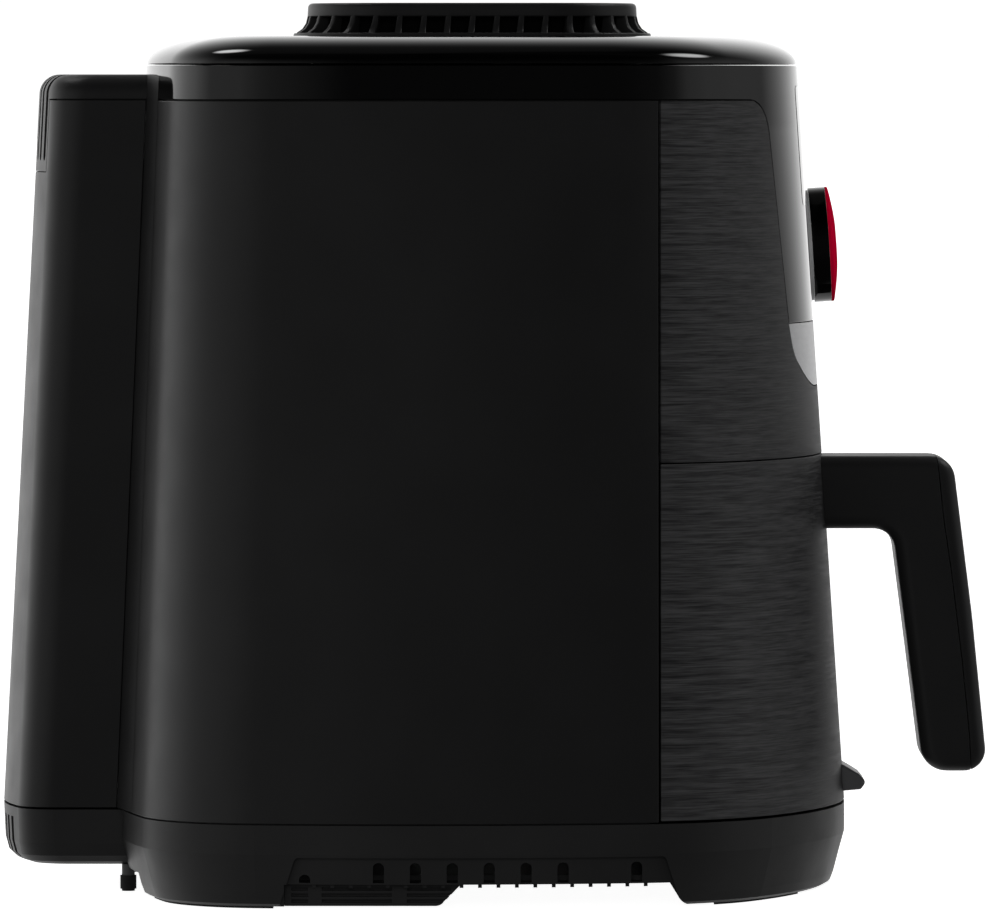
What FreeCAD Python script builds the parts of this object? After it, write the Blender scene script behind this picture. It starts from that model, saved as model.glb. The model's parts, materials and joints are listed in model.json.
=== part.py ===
"""Drawer-type air fryer with a tapered housing, a rear exhaust duct and a hooked drawer handle.

Millimetres, +Z up, front towards -Y, X = 0 is the plane of symmetry and the feet stand on Z = 0.
Each function below makes one physical piece; the table at the end names them.
"""
import FreeCAD, Part
import math
import os

V = FreeCAD.Vector

# ---- driving dimensions -----------------------------------------------------------------
# Heights of the horizontal seams of the housing
SEAM_BASE = 31.0
SEAM_DRAWER = 161.5
SEAM_TOP = 293.5
SEAM_LID = 306.5
LID_TOP = 317.0
CROWN_RIB_TOP = 324.3
CROWN_TOP = 329.4
GAP = 0.5                      # visible joint between two panels
WALL = 2.4                     # moulded housing wall

# Plan outline of the housing at the base seam: five tangent arcs on each side
BODY_HALF_WIDTH = 142.0
BODY_FRONT = -131.2
BODY_REAR = 142.0
FRONT_RADIUS = 186.0
FRONT_CORNER_RADIUS = 75.0
SIDE_RADIUS = 425.0
SIDE_CENTRE_Y = 30.0
REAR_CORNER_RADIUS = 50.0
REAR_RADIUS = 400.0
# The housing narrows towards one far apex, so every section is a scaled copy of the outline
APEX_Y = 36.8
APEX_RISE = 2549.0
PANEL_SEAM_Y = -60.0           # vertical joint between side shell and front panels

# Rear exhaust duct
DUCT_HALF_WIDTH = (56.0, 52.0)       # at the base seam and at the top seam
DUCT_REAR = (184.4, 170.8)
DUCT_REAR_RADIUS = 150.0
DUCT_CORNER_RADIUS = 14.0
DUCT_CAP_TOP = 303.0
DUCT_WALL = 2.2
GRILLE_HALF_WIDTH = 40.0
GRILLE_BOTTOM = 267.0
GRILLE_PITCH = 8.0
CAP_EDGE = 7.5                 # roll of the cap's rear edge
CAP_STEPS = 6

# Intake crown on the lid
CROWN_Y = 8.5
CROWN_HALF = 61.0
CROWN_FOOT_HALF = 66.6
CROWN_OPENINGS = 48

# Dial on the front panel
DIAL_Z = 239.0
DIAL_RADIUS = 21.5
DIAL_DEPTH = 10.4
DIAL_TRAVEL = 0.8
FIT = 0.05                     # radial clearance of every running fit

# Drawer, pot and handle
POT_HALF_WIDTH = 107.0
POT_FRONT = -98.0
POT_FRONT_CORNER = 50.0
POT_REAR = 104.0
POT_FLOOR = 38.0
POT_RIM = 151.0
POT_WALL = 1.2
DRAFT = 3.0                    # inward lean of the pot walls over their height
HANDLE_HALF_WIDTH = 20.0
HANDLE_TOP = 160.5
HANDLE_ARM_BOTTOM = 133.3
HANDLE_BOTTOM = 42.5

# Cooking chamber and fan
CHAMBER_HALF_WIDTH = 114.0
CHAMBER_FRONT = -57.0
CHAMBER_REAR = 112.0
CHAMBER_FLOOR = 33.0
CHAMBER_TOP = 208.0
SHEET = 1.0
FAN_Y = 27.5
SHAFT_RADIUS = 4.0
ELEMENT_Z = 178.0
GUARD_Z = 166.0

FAR = 400.0                    # reaches past the whole object


# ---- shape helpers ----------------------------------------------------------------------
def box(x0, x1, y0, y1, z0, z1):
    return Part.makeBox(x1 - x0, y1 - y0, z1 - z0, V(x0, y0, z0))


def rod(radius, start, end):
    return Part.makeCylinder(radius, (end - start).Length, start, end - start)


def tube(outer, inner, start, end):
    return rod(outer, start, end).cut(rod(inner, start, end))


def mirrored(shape):
    return shape.mirror(V(0, 0, 0), V(1, 0, 0))


def both_sides(shape):
    return Part.makeCompound([shape, mirrored(shape)])


def fused(shapes):
    first, *others = shapes
    return first.multiFuse(others).removeSplitter() if others else first


def rounded_wire(corners):
    """Closed outline through (point, radius) corners, each corner rounded by its own radius."""
    count = len(corners)
    ends = []
    for i, (point, radius) in enumerate(corners):
        to_last = (corners[i - 1][0] - point).normalize()
        to_next = (corners[(i + 1) % count][0] - point).normalize()
        half_angle = to_last.getAngle(to_next) / 2
        setback = radius / math.tan(half_angle)
        inward = (to_last + to_next).normalize() if radius else V(0, 0, 0)
        middle = point + inward * (radius / math.sin(half_angle) - radius)
        ends.append((point + to_last * setback, middle, point + to_next * setback))
    edges = []
    for i, (start, middle, end) in enumerate(ends):
        if corners[i][1]:
            edges.append(Part.Arc(start, middle, end).toShape())
        next_start = ends[(i + 1) % count][0]
        if (next_start - end).Length > 1e-6:
            edges.append(Part.LineSegment(end, next_start).toShape())
    return Part.Wire(edges)


def plan_prism(corners, z0, z1):
    """Corners are (x, y, radius)."""
    wire = rounded_wire([(V(x, y, z0), r) for x, y, r in corners])
    return Part.Face(wire).extrude(V(0, 0, z1 - z0))


def front_prism(corners, y0, y1):
    """Corners are (x, z, radius), seen from the front."""
    wire = rounded_wire([(V(x, y0, z), r) for x, z, r in corners])
    return Part.Face(wire).extrude(V(0, y1 - y0, 0))


def side_prism(corners, x0, x1):
    """Corners are (y, z, radius), seen from the side."""
    wire = rounded_wire([(V(x0, y, z), r) for y, z, r in corners])
    return Part.Face(wire).extrude(V(x1 - x0, 0, 0))


def rounded_rectangle(half_x, y0, y1, z, radius, rear_radius=None):
    rear = radius if rear_radius is None else rear_radius
    corners = [(-half_x, y0, radius), (half_x, y0, radius), (half_x, y1, rear), (-half_x, y1, rear)]
    return rounded_wire([(V(x, y, z), r) for x, y, r in corners])


def ruled(wires):
    return Part.makeLoft(wires, True, True)


# ---- housing surface --------------------------------------------------------------------
def third_centre(c1, r1, c2, r2, towards):
    """Centre at distance r1 from c1 and r2 from c2, on the side that `towards` points to."""
    line = c2 - c1
    gap = line.Length
    along = (r1 ** 2 - r2 ** 2 + gap ** 2) / (2 * gap)
    across = math.sqrt(r1 ** 2 - along ** 2)
    line.normalize()
    normal = V(-line.y, line.x, 0)
    if normal.dot(towards) < 0:
        normal = normal * -1
    return c1 + line * along + normal * across


FRONT_C = V(0, BODY_FRONT + FRONT_RADIUS, 0)
SIDE_C = V(BODY_HALF_WIDTH - SIDE_RADIUS, SIDE_CENTRE_Y, 0)
REAR_C = V(0, BODY_REAR - REAR_RADIUS, 0)
FRONT_CORNER_C = third_centre(FRONT_C, FRONT_RADIUS - FRONT_CORNER_RADIUS,
                              SIDE_C, SIDE_RADIUS - FRONT_CORNER_RADIUS, V(1, -1, 0))
REAR_CORNER_C = third_centre(REAR_C, REAR_RADIUS - REAR_CORNER_RADIUS,
                             SIDE_C, SIDE_RADIUS - REAR_CORNER_RADIUS, V(1, 1, 0))


def flipped(vector):
    return V(-vector.x, vector.y, vector.z)


def arc_about(centre, radius, start, end):
    """Arc about centre from one unit direction to the other, the short way."""
    middle = (start + end).normalize()
    return Part.Arc(centre + start * radius, centre + middle * radius, centre + end * radius).toShape()


def body_wire(z, inset=0.0, outline_z=None):
    """Housing outline at height z, `inset` inside the surface; outline_z takes another height's."""
    scale = 1 - ((z if outline_z is None else outline_z) - SEAM_BASE) / APEX_RISE

    def placed(centre):
        return V(centre.x * scale, APEX_Y + (centre.y - APEX_Y) * scale, z)

    turns = [(FRONT_CORNER_C - FRONT_C).normalize(), (FRONT_CORNER_C - SIDE_C).normalize(),
             (REAR_CORNER_C - SIDE_C).normalize(), (REAR_CORNER_C - REAR_C).normalize()]
    side_arcs = [(FRONT_CORNER_C, FRONT_CORNER_RADIUS), (SIDE_C, SIDE_RADIUS),
                 (REAR_CORNER_C, REAR_CORNER_RADIUS)]
    edges = [arc_about(placed(FRONT_C), FRONT_RADIUS * scale - inset, flipped(turns[0]), turns[0])]
    for (centre, radius), start, end in zip(side_arcs, turns, turns[1:]):
        edges.append(arc_about(placed(centre), radius * scale - inset, start, end))
    edges.append(arc_about(placed(REAR_C), REAR_RADIUS * scale - inset, turns[3], flipped(turns[3])))
    for (centre, radius), start, end in reversed(list(zip(side_arcs, turns, turns[1:]))):
        edges.append(arc_about(placed(flipped(centre)), radius * scale - inset,
                               flipped(end), flipped(start)))
    return Part.Wire(edges)


def body_loft(z0, z1, inset=0.0):
    return ruled([body_wire(z0, inset), body_wire(z1, inset)])


def body_skin(z0, z1, outer, inner):
    """Skin of the tapered housing between two heights and two depths below its surface."""
    return body_loft(z0, z1, outer).cut(body_loft(z0 - 1, z1 + 1, inner))


def front_y(z):
    return APEX_Y + (BODY_FRONT - APEX_Y) * (1 - (z - SEAM_BASE) / APEX_RISE)


FRONT_LEAN = math.degrees(math.atan((APEX_Y - BODY_FRONT) / APEX_RISE))


def on_panel(shape):
    """Moves a shape made about the origin, +Z outward and +Y up, onto the panel at the dial."""
    placed = shape.copy()
    placed.Placement = FreeCAD.Placement(V(0, front_y(DIAL_Z), DIAL_Z),
                                         FreeCAD.Rotation(V(1, 0, 0), 90 - FRONT_LEAN))
    return placed


FRONT_HALF = box(-FAR, FAR, -FAR, PANEL_SEAM_Y - GAP / 2, 0, FAR)
REAR_HALF = box(-FAR, FAR, PANEL_SEAM_Y + GAP / 2, FAR, 0, FAR)


# ---- rear duct surface ------------------------------------------------------------------
def duct_size(z):
    share = (z - SEAM_BASE) / (SEAM_TOP - SEAM_BASE)
    return tuple(low + (high - low) * share for low, high in (DUCT_HALF_WIDTH, DUCT_REAR))


def duct_wire(z, inset=0.0, size_z=None, shrink=0.0):
    """D-shaped section of the duct, open towards the housing; shrink pulls in the whole outline."""
    half, rear = duct_size(z if size_z is None else size_z)
    half, rear = half - shrink, rear - shrink
    reach = DUCT_REAR_RADIUS - DUCT_CORNER_RADIUS
    rear_centre = V(0, rear - DUCT_REAR_RADIUS, z)
    corner = V(half - DUCT_CORNER_RADIUS, 0, z)
    corner.y = rear_centre.y + math.sqrt(reach ** 2 - corner.x ** 2)
    turn = (corner - rear_centre).normalize()
    front = 112.0
    side = half - inset
    edges = [Part.LineSegment(V(side, front, z), V(side, corner.y, z)).toShape(),
             arc_about(corner, DUCT_CORNER_RADIUS - inset, V(1, 0, 0), turn),
             arc_about(rear_centre, DUCT_REAR_RADIUS - inset, turn, flipped(turn)),
             arc_about(flipped(corner), DUCT_CORNER_RADIUS - inset, flipped(turn), V(-1, 0, 0)),
             Part.LineSegment(V(-side, corner.y, z), V(-side, front, z)).toShape(),
             Part.LineSegment(V(-side, front, z), V(side, front, z)).toShape()]
    return Part.Wire(edges)


def seam_y(z):
    """Joint between the removable duct cover and the housing, leaning with the rear wall."""
    return 128.8 + (294.0 - z) * 11.2 / 264.0


def behind_seam(offset=0.0):
    corners = [(seam_y(0) + offset, 0, 0), (FAR, 0, 0), (FAR, FAR, 0), (seam_y(FAR) + offset, FAR, 0)]
    return side_prism(corners, -FAR, FAR)


# ---- base -------------------------------------------------------------------------------
PAD_HEIGHT = 0.8
TRAY_UNDERSIDE = 9.0
TRAY_FLOOR = 11.5
RECESS_TOP = 19.0
BASE_WALL = 3.0
RECESS_DEPTH = 3.0
SIDE_GAP = (-66.0, 76.6)       # open stretch between the front and rear feet, along Y
SLOT_PITCH = 13.4
SLOT_MIDDLE = 2.1
SLOT_WIDTH = 4.0
BASE_SCREWS = [(x, y) for x in (-84.0, 84.0) for y in (-58.0, 92.0)]


def base_block():
    levels = [(PAD_HEIGHT, 7.0), (1.8, 5.2), (5.0, 4.0), (20.0, 0.0), (SEAM_BASE - GAP / 2, 0.0)]
    return ruled([body_wire(z, inset, SEAM_BASE) for z, inset in levels])


def lobe_block(wall=0.0):
    """Rear lobe under the duct, with a rounded lower edge; wall shrinks it to its inside."""
    levels = [(10.0, 8.0), (11.2, 4.2), (13.5, 1.8), (18.0, 0.6), (SEAM_BASE - GAP / 2, 0.0)]
    wires = [duct_wire(z + (wall if z < 18 else 0), wall, SEAM_BASE, shrink) for z, shrink in levels]
    return ruled(wires)


def lobe_slots():
    """Vertical outlet slots across the lobe's back, in line with the cap's grille."""
    slots = [box(x - 2.0, x + 2.0, 150, FAR, 12.0, 27.0) for x in grille_places()]
    return Part.makeCompound(slots)


def grille_places():
    return [(i - 4.5) * GRILLE_PITCH for i in range(10)]


def side_slots():
    """Arched intake slots in the recessed band between the feet."""
    slots = []
    half = SLOT_WIDTH / 2
    for i, top in ((-4, 17), (-2, 17), (-1, 17), (0, 17), (1, 17), (2, 17), (3, 17), (5, 12.6)):
        y = SLOT_MIDDLE + i * SLOT_PITCH
        corners = [(y - half, 9.6, 0), (y + half, 9.6, 0), (y + half, top, 1.9), (y - half, top, 1.9)]
        slots.append(side_prism(corners, 122, 150))
    return both_sides(Part.makeCompound(slots))


def side_recess():
    """Band pressed into both sides above the gap, with sloped ends."""
    y0, y1 = SIDE_GAP
    band = side_prism([(y0 - 2, 0, 0), (y1 + 2, 0, 0), (y1 - 4, RECESS_TOP, 2), (y0 + 4, RECESS_TOP, 2)],
                      -FAR, FAR)
    core = ruled([body_wire(z, RECESS_DEPTH + lean, SEAM_BASE) for z, lean in ((-1, 4.0), (20, 0.4))])
    return band.cut(core)


def edge_teeth():
    """Small teeth under the recessed band, either side of each slot."""
    places = [SLOT_MIDDLE + (i + 0.5) * SLOT_PITCH / 2 for i in range(-9, 10)]
    teeth = [box(-FAR, FAR, y - 0.7, y + 0.7, 7.7, TRAY_UNDERSIDE + 0.5) for y in places]
    rim = ruled([body_wire(z, 7.5, SEAM_BASE) for z in (5, 12)])
    rim = rim.cut(ruled([body_wire(z, 9.0, SEAM_BASE) for z in (4, 13)]))
    return Part.makeCompound(teeth).common(rim)


def side_gap():
    """Open stretch between the feet; the front feet end in a leaning face with a full corner."""
    y0, y1 = SIDE_GAP
    corners = [(y0 - 12, PAD_HEIGHT - 3, 0), (y0 - 2.2, PAD_HEIGHT + 0.6, 7), (y0 + 2.4, TRAY_UNDERSIDE, 0),
               (y1, TRAY_UNDERSIDE, 0), (y1, PAD_HEIGHT - 3, 0)]
    return side_prism(corners, -FAR, FAR)


def base_tray():
    tray = base_block().fuse(lobe_block())
    lower = ruled([body_wire(z, 9.0, SEAM_BASE) for z in (TRAY_FLOOR, 21)])
    upper = ruled([body_wire(z, BASE_WALL, SEAM_BASE) for z in (21, SEAM_BASE + 1)])
    relief = ruled([body_wire(z, 17.0, SEAM_BASE) for z in (-1, TRAY_UNDERSIDE)])
    lobe_inside = lobe_block(BASE_WALL).common(box(-FAR, FAR, 120, FAR, TRAY_FLOOR, FAR))
    for cutter in (lower, upper, relief, lobe_inside, side_recess(), side_slots(), lobe_slots(),
                   side_gap(), box(-78, 78, 90, FAR, -1, TRAY_UNDERSIDE)):
        tray = tray.cut(cutter)
    lip = body_skin(28.5, SEAM_BASE + 4.5, WALL + 0.4, WALL + 1.9).common(box(-FAR, FAR, -56, FAR, 0, FAR))
    tray = tray.fuse([edge_teeth(), lip])
    for x, y in BASE_SCREWS:
        boss = rod(4.5, V(x, y, TRAY_FLOOR - 1), V(x, y, 24))
        tray = tray.fuse(boss).cut(rod(1.6, V(x, y, 0), V(x, y, 25)))
    tray = tray.cut(gland_bore())
    return tray


def screw(tip, head, radius=1.6, head_radius=3.2, head_height=1.8):
    """Screw with a cross recess; head is the point under the head, tip the end of its thread."""
    out = (head - tip).normalize()
    shape = rod(radius, tip, head).fuse(rod(head_radius, head, head + out * head_height))
    side = V(1, 0, 0) if abs(out.x) < 0.9 else V(0, 1, 0)
    other = out.cross(side)
    for a, b in ((side, other), (other, side)):
        corners = [head + out * (head_height - 1) + a * (sa * head_radius * 0.65) + b * (sb * 0.35)
                   for sa, sb in ((-1, -1), (1, -1), (1, 1), (-1, 1))]
        shape = shape.cut(Part.Face(rounded_wire([(c, 0) for c in corners])).extrude(out * 2))
    return shape


def base_screws():
    return Part.makeCompound([screw(V(x, y, 23), V(x, y, TRAY_UNDERSIDE)) for x, y in BASE_SCREWS])


def foot_pads():
    """Rubber strips under the four corner skirts."""
    ring = ruled([body_wire(z, 8.0, SEAM_BASE) for z in (0, PAD_HEIGHT)])
    ring = ring.cut(ruled([body_wire(z, 15.0, SEAM_BASE) for z in (-1, PAD_HEIGHT + 1)]))
    front = box(62, FAR, -FAR, SIDE_GAP[0] - 14, 0, PAD_HEIGHT)
    rear = box(82, FAR, SIDE_GAP[1] + 4, FAR, 0, PAD_HEIGHT)
    return both_sides(ring.common(front).fuse(ring.common(rear)))


REAR_FOOT = (47.0, 136.2)


def rear_foot_posts():
    x, y = REAR_FOOT
    tray = base_block().common(box(-FAR, FAR, 0, FAR, TRAY_UNDERSIDE, FAR))
    return both_sides(rod(2.4, V(x, y, 5.8), V(x, y, 10.0)).cut(tray))


def rear_foot_tips():
    x, y = REAR_FOOT
    tip = rod(3.0, V(x, y, 0.8), V(x, y, 5.8)).fuse(rod(2.4, V(x, y, 0), V(x, y, 0.8)))
    return both_sides(tip)


def louvre_blocks():
    """Ribbed blocks between the feet, just inside the side walls."""
    corners = [(20, 0.8, 4), (76.5, 0.8, 0), (76.5, TRAY_UNDERSIDE, 0), (12, TRAY_UNDERSIDE, 0)]
    block = side_prism(corners, 117, 130)
    for z in (2.0, 4.2, 6.4):
        for y0, y1 in ((16, 32), (37.5, 63), (68, 74)):
            block = block.cut(box(127.5, 131, y0, y1, z, z + 1.2))
    return both_sides(block)


GLAND = V(96.0, 122.0, 21.0)
GLAND_AXIS = V(0.45, 0.893, 0)


def gland_bore():
    return rod(5.0, GLAND - GLAND_AXIS * 12, GLAND + GLAND_AXIS * 30)


def cord_gland():
    """Bush for the mains lead in the rear corner of the base; the lead itself is left out."""
    bush = rod(5.0, GLAND - GLAND_AXIS * 4, GLAND + GLAND_AXIS * 12)
    bush = bush.fuse(rod(6.6, GLAND - GLAND_AXIS * 6, GLAND - GLAND_AXIS * 4))
    bush = bush.common(ruled([body_wire(z, -0.6, SEAM_BASE) for z in (10, 30)]))
    return bush.cut(rod(3.3, GLAND - GLAND_AXIS * 12, GLAND + GLAND_AXIS * 30))


# ---- housing shells ---------------------------------------------------------------------
DUCT_WINDOW = (-44.0, 44.0, 62.0, 278.0)     # x and z of the air opening in the rear wall


def outer_shell():
    shell = body_skin(SEAM_BASE + GAP / 2, SEAM_TOP - GAP / 2, 0, WALL).common(REAR_HALF)
    x0, x1, z0, z1 = DUCT_WINDOW
    shell = shell.cut(front_prism([(x0, z0, 8), (x1, z0, 8), (x1, z1, 8), (x0, z1, 8)], 100, FAR))
    ledge = body_skin(SEAM_TOP - 5, SEAM_TOP - 2.5, WALL - 0.4, 9).common(REAR_HALF)
    return shell.fuse(ledge)


CHIN_TOP = 211.0
PANEL_HALF_WIDTH = 59.7        # of the tongue and the chin where they meet


def tongue_corners(grow=0.0):
    """Front outline of the gloss tongue: it leaves the top band in a concave curve and narrows."""
    top, bottom = SEAM_TOP - grow, CHIN_TOP - grow
    half_top, half_bottom = 67.1 + grow, PANEL_HALF_WIDTH + grow
    edge, flare = 170.0, 13.0
    return [(-edge, SEAM_LID, 0), (-edge, top, 0), (-half_top, top, flare),
            (-half_bottom, bottom, 0), (half_bottom, bottom, 0), (half_top, top, flare),
            (edge, top, 0), (edge, SEAM_LID, 0)]


def chin_corners(grow=0.0):
    """Front outline of the chin, a wide bowl with full corners."""
    half, low = PANEL_HALF_WIDTH + grow, 187.3 - grow
    return [(-half, CHIN_TOP, 0), (-half + 2.9, low + 11.7, 14), (-half + 22.7, low, 50),
            (half - 22.7, low, 50), (half - 2.9, low + 11.7, 14), (half, CHIN_TOP, 0)]


def lens_corners(grow=0.0):
    half, low, high = 24.7 + grow, 254.3 - grow, 298.9 + grow
    return [(-half, low, 3), (half, low, 3), (half, high, 3), (-half, high, 3)]


def front_fascia():
    fascia = body_skin(SEAM_DRAWER + GAP / 2, SEAM_TOP - GAP / 2, 0, 2.2).common(FRONT_HALF)
    fascia = fascia.cut(front_prism(tongue_corners(0.2), -FAR, 0))
    return fascia.cut(front_prism(chin_corners(0.2), -FAR, 0))


def top_bezel():
    band = body_skin(SEAM_TOP + GAP / 2, SEAM_LID - GAP / 2, 0, WALL)
    tongue = body_skin(CHIN_TOP + 0.15, SEAM_TOP + 1, 0, WALL)
    tongue = tongue.common(front_prism(tongue_corners(), -FAR, 0))
    ledge = body_skin(SEAM_LID - 3.5, SEAM_LID - 1.5, WALL - 0.4, 8)
    bezel = band.fuse([tongue, ledge, dial_seat()])
    bezel = bezel.cut(front_prism(lens_corners(0.15), -FAR, 0))
    return bezel.cut(on_panel(rod(6.2, V(0, 0, -8), V(0, 0, 8))))


def dial_seat():
    """Flat ring behind the dial, level with the panel's middle where the panel curves away."""
    return on_panel(tube(DIAL_RADIUS - 0.2, DIAL_RADIUS - 3.7, V(0, 0, -3.2), V(0, 0, 0)))


def chin_trim():
    chin = body_skin(180, CHIN_TOP - 0.15, 0, WALL)
    return chin.common(front_prism(chin_corners(), -FAR, 0))


def display_lens():
    return body_skin(250, 302, -0.05, 1.0).common(front_prism(lens_corners(), -FAR, 0))


def display_board():
    """Board with a light box behind the lens, leaning with the panel."""
    board = box(-31, 31, -8, 58, -13.0, -11.4)
    light_box = box(-26, 26, 18, 56, -11.4, -5.2)
    light_box = light_box.cut(box(-24.5, 24.5, 19.5, 54.5, -10, 0))
    digits = [box(x - 6, x + 6, 28, 46, -10.2, -7.2) for x in (-15, 0, 15)]
    return on_panel(fused([board, light_box] + digits).cut(rod(7, V(0, 0, -20), V(0, 0, 0))))


LID_EDGE_WIDTH = 27.0
LID_STEPS = 10


def lid_dome(depth):
    """Lid body whose edge rolls over in a quarter ellipse; depth shrinks it to its inside."""
    wires = []
    for i in range(LID_STEPS + 1):
        turn = math.radians(90.0 * i / LID_STEPS)
        inset = 0.3 + LID_EDGE_WIDTH * (1 - math.cos(turn)) + depth
        z = SEAM_LID + GAP / 2 + (LID_TOP - SEAM_LID - GAP / 2) * math.sin(turn) - depth
        wires.append(body_wire(z, inset, SEAM_LID))
    return ruled(wires)


def crown_wire(z, half):
    radius = 33.0 + half - CROWN_HALF
    return rounded_rectangle(half, CROWN_Y - half, CROWN_Y + half, z, radius)


def lid_cover():
    lid = lid_dome(0).cut(lid_dome(2.5))
    return lid.cut(ruled([crown_wire(z, 55.0) for z in (290, 330)]))


def intake_crown():
    """Ring on curved ribs over the air intake in the lid."""
    levels = [(LID_TOP, CROWN_FOOT_HALF), (LID_TOP + 1.3, CROWN_FOOT_HALF - 0.6), (LID_TOP + 4.0, 62.6),
              (CROWN_RIB_TOP, 61.2), (CROWN_TOP - 1.4, CROWN_HALF), (CROWN_TOP, CROWN_HALF - 1.4)]
    crown = ruled([crown_wire(z, half) for z, half in levels])
    crown = crown.cut(ruled([crown_wire(z, half - 4.2) for z, half in
                             ((LID_TOP - 1, 63.0), (CROWN_RIB_TOP, 61.2), (CROWN_TOP + 1, 61.2))]))
    path = crown_wire(LID_TOP, CROWN_HALF)
    pitch = path.Length / CROWN_OPENINGS
    cutters = []
    for i in range(CROWN_OPENINGS):
        point, tangent = station(path, (i + 0.5) * pitch)
        cutters.append(crown_opening(point, tangent, pitch - 2.6))
    return crown.cut(Part.makeCompound(cutters))


def station(wire, distance):
    """Point and tangent at a distance along a wire."""
    for edge in wire.OrderedEdges:
        if distance <= edge.Length:
            parameter = edge.getParameterByLength(distance)
            return edge.valueAt(parameter), edge.tangentAt(parameter)
        distance -= edge.Length
    raise ValueError("distance is past the end of the wire")


def crown_opening(point, tangent, width):
    """Slanted window between two ribs."""
    low, high, slant = LID_TOP + 1.3, CROWN_RIB_TOP, 0.8
    outward = tangent.cross(V(0, 0, 1))
    start = point - outward * 12
    corners = [(-width / 2 - slant, low), (width / 2 - slant, low),
               (width / 2 + slant, high), (-width / 2 + slant, high)]
    wire = rounded_wire([(start + tangent * s + V(0, 0, z - point.z), 1.0) for s, z in corners])
    return Part.Face(wire).extrude(outward * 30)


def crown_cap():
    """Recessed plate that closes the crown's ring, with a grille of long slots."""
    cap = ruled([crown_wire(z, 56.8) for z in (CROWN_RIB_TOP + 0.4, CROWN_RIB_TOP + 2.6)])
    for i in range(-5, 6):
        slot = plan_prism([(i * 8 - 2, CROWN_Y - 34, 1.9), (i * 8 + 2, CROWN_Y - 34, 1.9),
                           (i * 8 + 2, CROWN_Y + 34, 1.9), (i * 8 - 2, CROWN_Y + 34, 1.9)], 320, 330)
        cap = cap.cut(slot)
    return cap


# ---- rear duct --------------------------------------------------------------------------
def duct_skin(z0, z1, outer, inner):
    outside = ruled([duct_wire(z0, outer), duct_wire(z1, outer)])
    return outside.cut(ruled([duct_wire(z0 - 1, inner), duct_wire(z1 + 1, inner)]))


def clear_of_body(shape, margin=0.1):
    return shape.cut(ruled([body_wire(z, -margin) for z in (SEAM_BASE - 2, SEAM_LID + 2)]))


def grille_notch(grow=0.0):
    half, low = GRILLE_HALF_WIDTH + grow, GRILLE_BOTTOM - grow
    return front_prism([(-half, low, 2), (half, low, 2), (half, FAR, 0), (-half, FAR, 0)], 140, FAR)


def rear_duct_cover():
    cover = duct_skin(SEAM_BASE + GAP, SEAM_TOP, 0, DUCT_WALL).common(behind_seam(0.3))
    return clear_of_body(cover).cut(grille_notch(0.25))


def cap_block(wall=0.0):
    """Top of the duct with a rolled rear edge; wall shrinks it to its inside."""
    wires = [duct_wire(GRILLE_BOTTOM - (1 if wall else 0), wall)]
    for i in range(CAP_STEPS + 1):
        turn = math.radians(90.0 * i / CAP_STEPS)
        z = DUCT_CAP_TOP - wall - CAP_EDGE * (1 - math.sin(turn))
        wires.append(duct_wire(z, wall, None, CAP_EDGE * (1 - math.cos(turn))))
    return ruled(wires)


def rear_duct_cap():
    """Cap of the duct; its grille runs over the rear edge and down the back."""
    beside_grille = box(-FAR, FAR, 0, FAR, 0, SEAM_TOP + GAP).cut(grille_notch())
    cap = cap_block().cut(cap_block(DUCT_WALL)).common(behind_seam(0.3)).cut(beside_grille)
    cap = clear_of_body(cap)
    for x in grille_places():
        cap = cap.cut(front_prism([(x - 1.9, 271, 0), (x + 1.9, 271, 0), (x + 1.9, FAR, 0), (x - 1.9, FAR, 0)],
                                  154, FAR))
    return cap


def duct_fairings():
    """Flares that blend the duct's flanks into the rear of the housing."""
    wires = []
    for z in (SEAM_BASE + GAP, DUCT_CAP_TOP):
        half, seam = duct_size(z)[0], seam_y(z)
        corners = [(-half - 34, seam - 8.4), (-half - 0.2, seam + 0.1), (half + 0.2, seam + 0.1),
                   (half + 34, seam - 8.4), (half + 34, 100), (-half - 34, 100)]
        wires.append(rounded_wire([(V(x, y, z), 0) for x, y in corners]))
    flare = clear_of_body(ruled(wires))
    shoulder = side_prism([(60, FAR, 0), (seam_y(DUCT_CAP_TOP) - 7.6, 294, 0),
                           (seam_y(DUCT_CAP_TOP) - 7.0, DUCT_CAP_TOP, 6), (FAR, DUCT_CAP_TOP, 0),
                           (FAR, FAR, 0)], -FAR, FAR)
    return flare.cut(shoulder).cut(box(-44, 44, 0, FAR, 0, FAR))


def exhaust_duct():
    """Rectangular duct from the chamber to the opening in the rear wall."""
    duct = front_prism([(-42, 172, 5), (42, 172, 5), (42, 200, 5), (-42, 200, 5)], CHAMBER_REAR, 134)
    duct = duct.cut(front_prism([(-41, 173, 4), (41, 173, 4), (41, 199, 4), (-41, 199, 4)], 100, FAR))
    return duct.common(body_loft(160, 210, WALL + 0.2).fuse(box(-42.5, 42.5, 100, 131, 160, 210)))


# ---- cooking chamber --------------------------------------------------------------------
def chamber_block(inset, z0, z1):
    half, front, rear = CHAMBER_HALF_WIDTH - inset, CHAMBER_FRONT + inset, CHAMBER_REAR - inset
    return ruled([rounded_rectangle(half, front, rear, z, 4, 40 - inset) for z in (z0, z1)])


ELEMENT_RADII = (56.0, 76.0)   # inner and outer ring of the heater
ELEMENT_GAP = 8.0              # half angle of the gap in both rings, at the back
ELEMENT_ROD = 3.2
SENSOR = V(60.0, FAN_Y - 50.0, 0)


def element_point(radius, side, z):
    angle = math.radians(90 + side * ELEMENT_GAP)
    return V(radius * math.cos(angle), FAN_Y + radius * math.sin(angle), z)


def element_holes(radius, z0, z1):
    """Clearance holes over the heater's two terminals and the sensor."""
    holes = [rod(radius, element_point(ring, 1, z0), element_point(ring, 1, z1)) for ring in ELEMENT_RADII]
    holes.append(rod(radius - 1.2, SENSOR + V(0, 0, z0), SENSOR + V(0, 0, z1)))
    return Part.makeCompound(holes)


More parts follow.
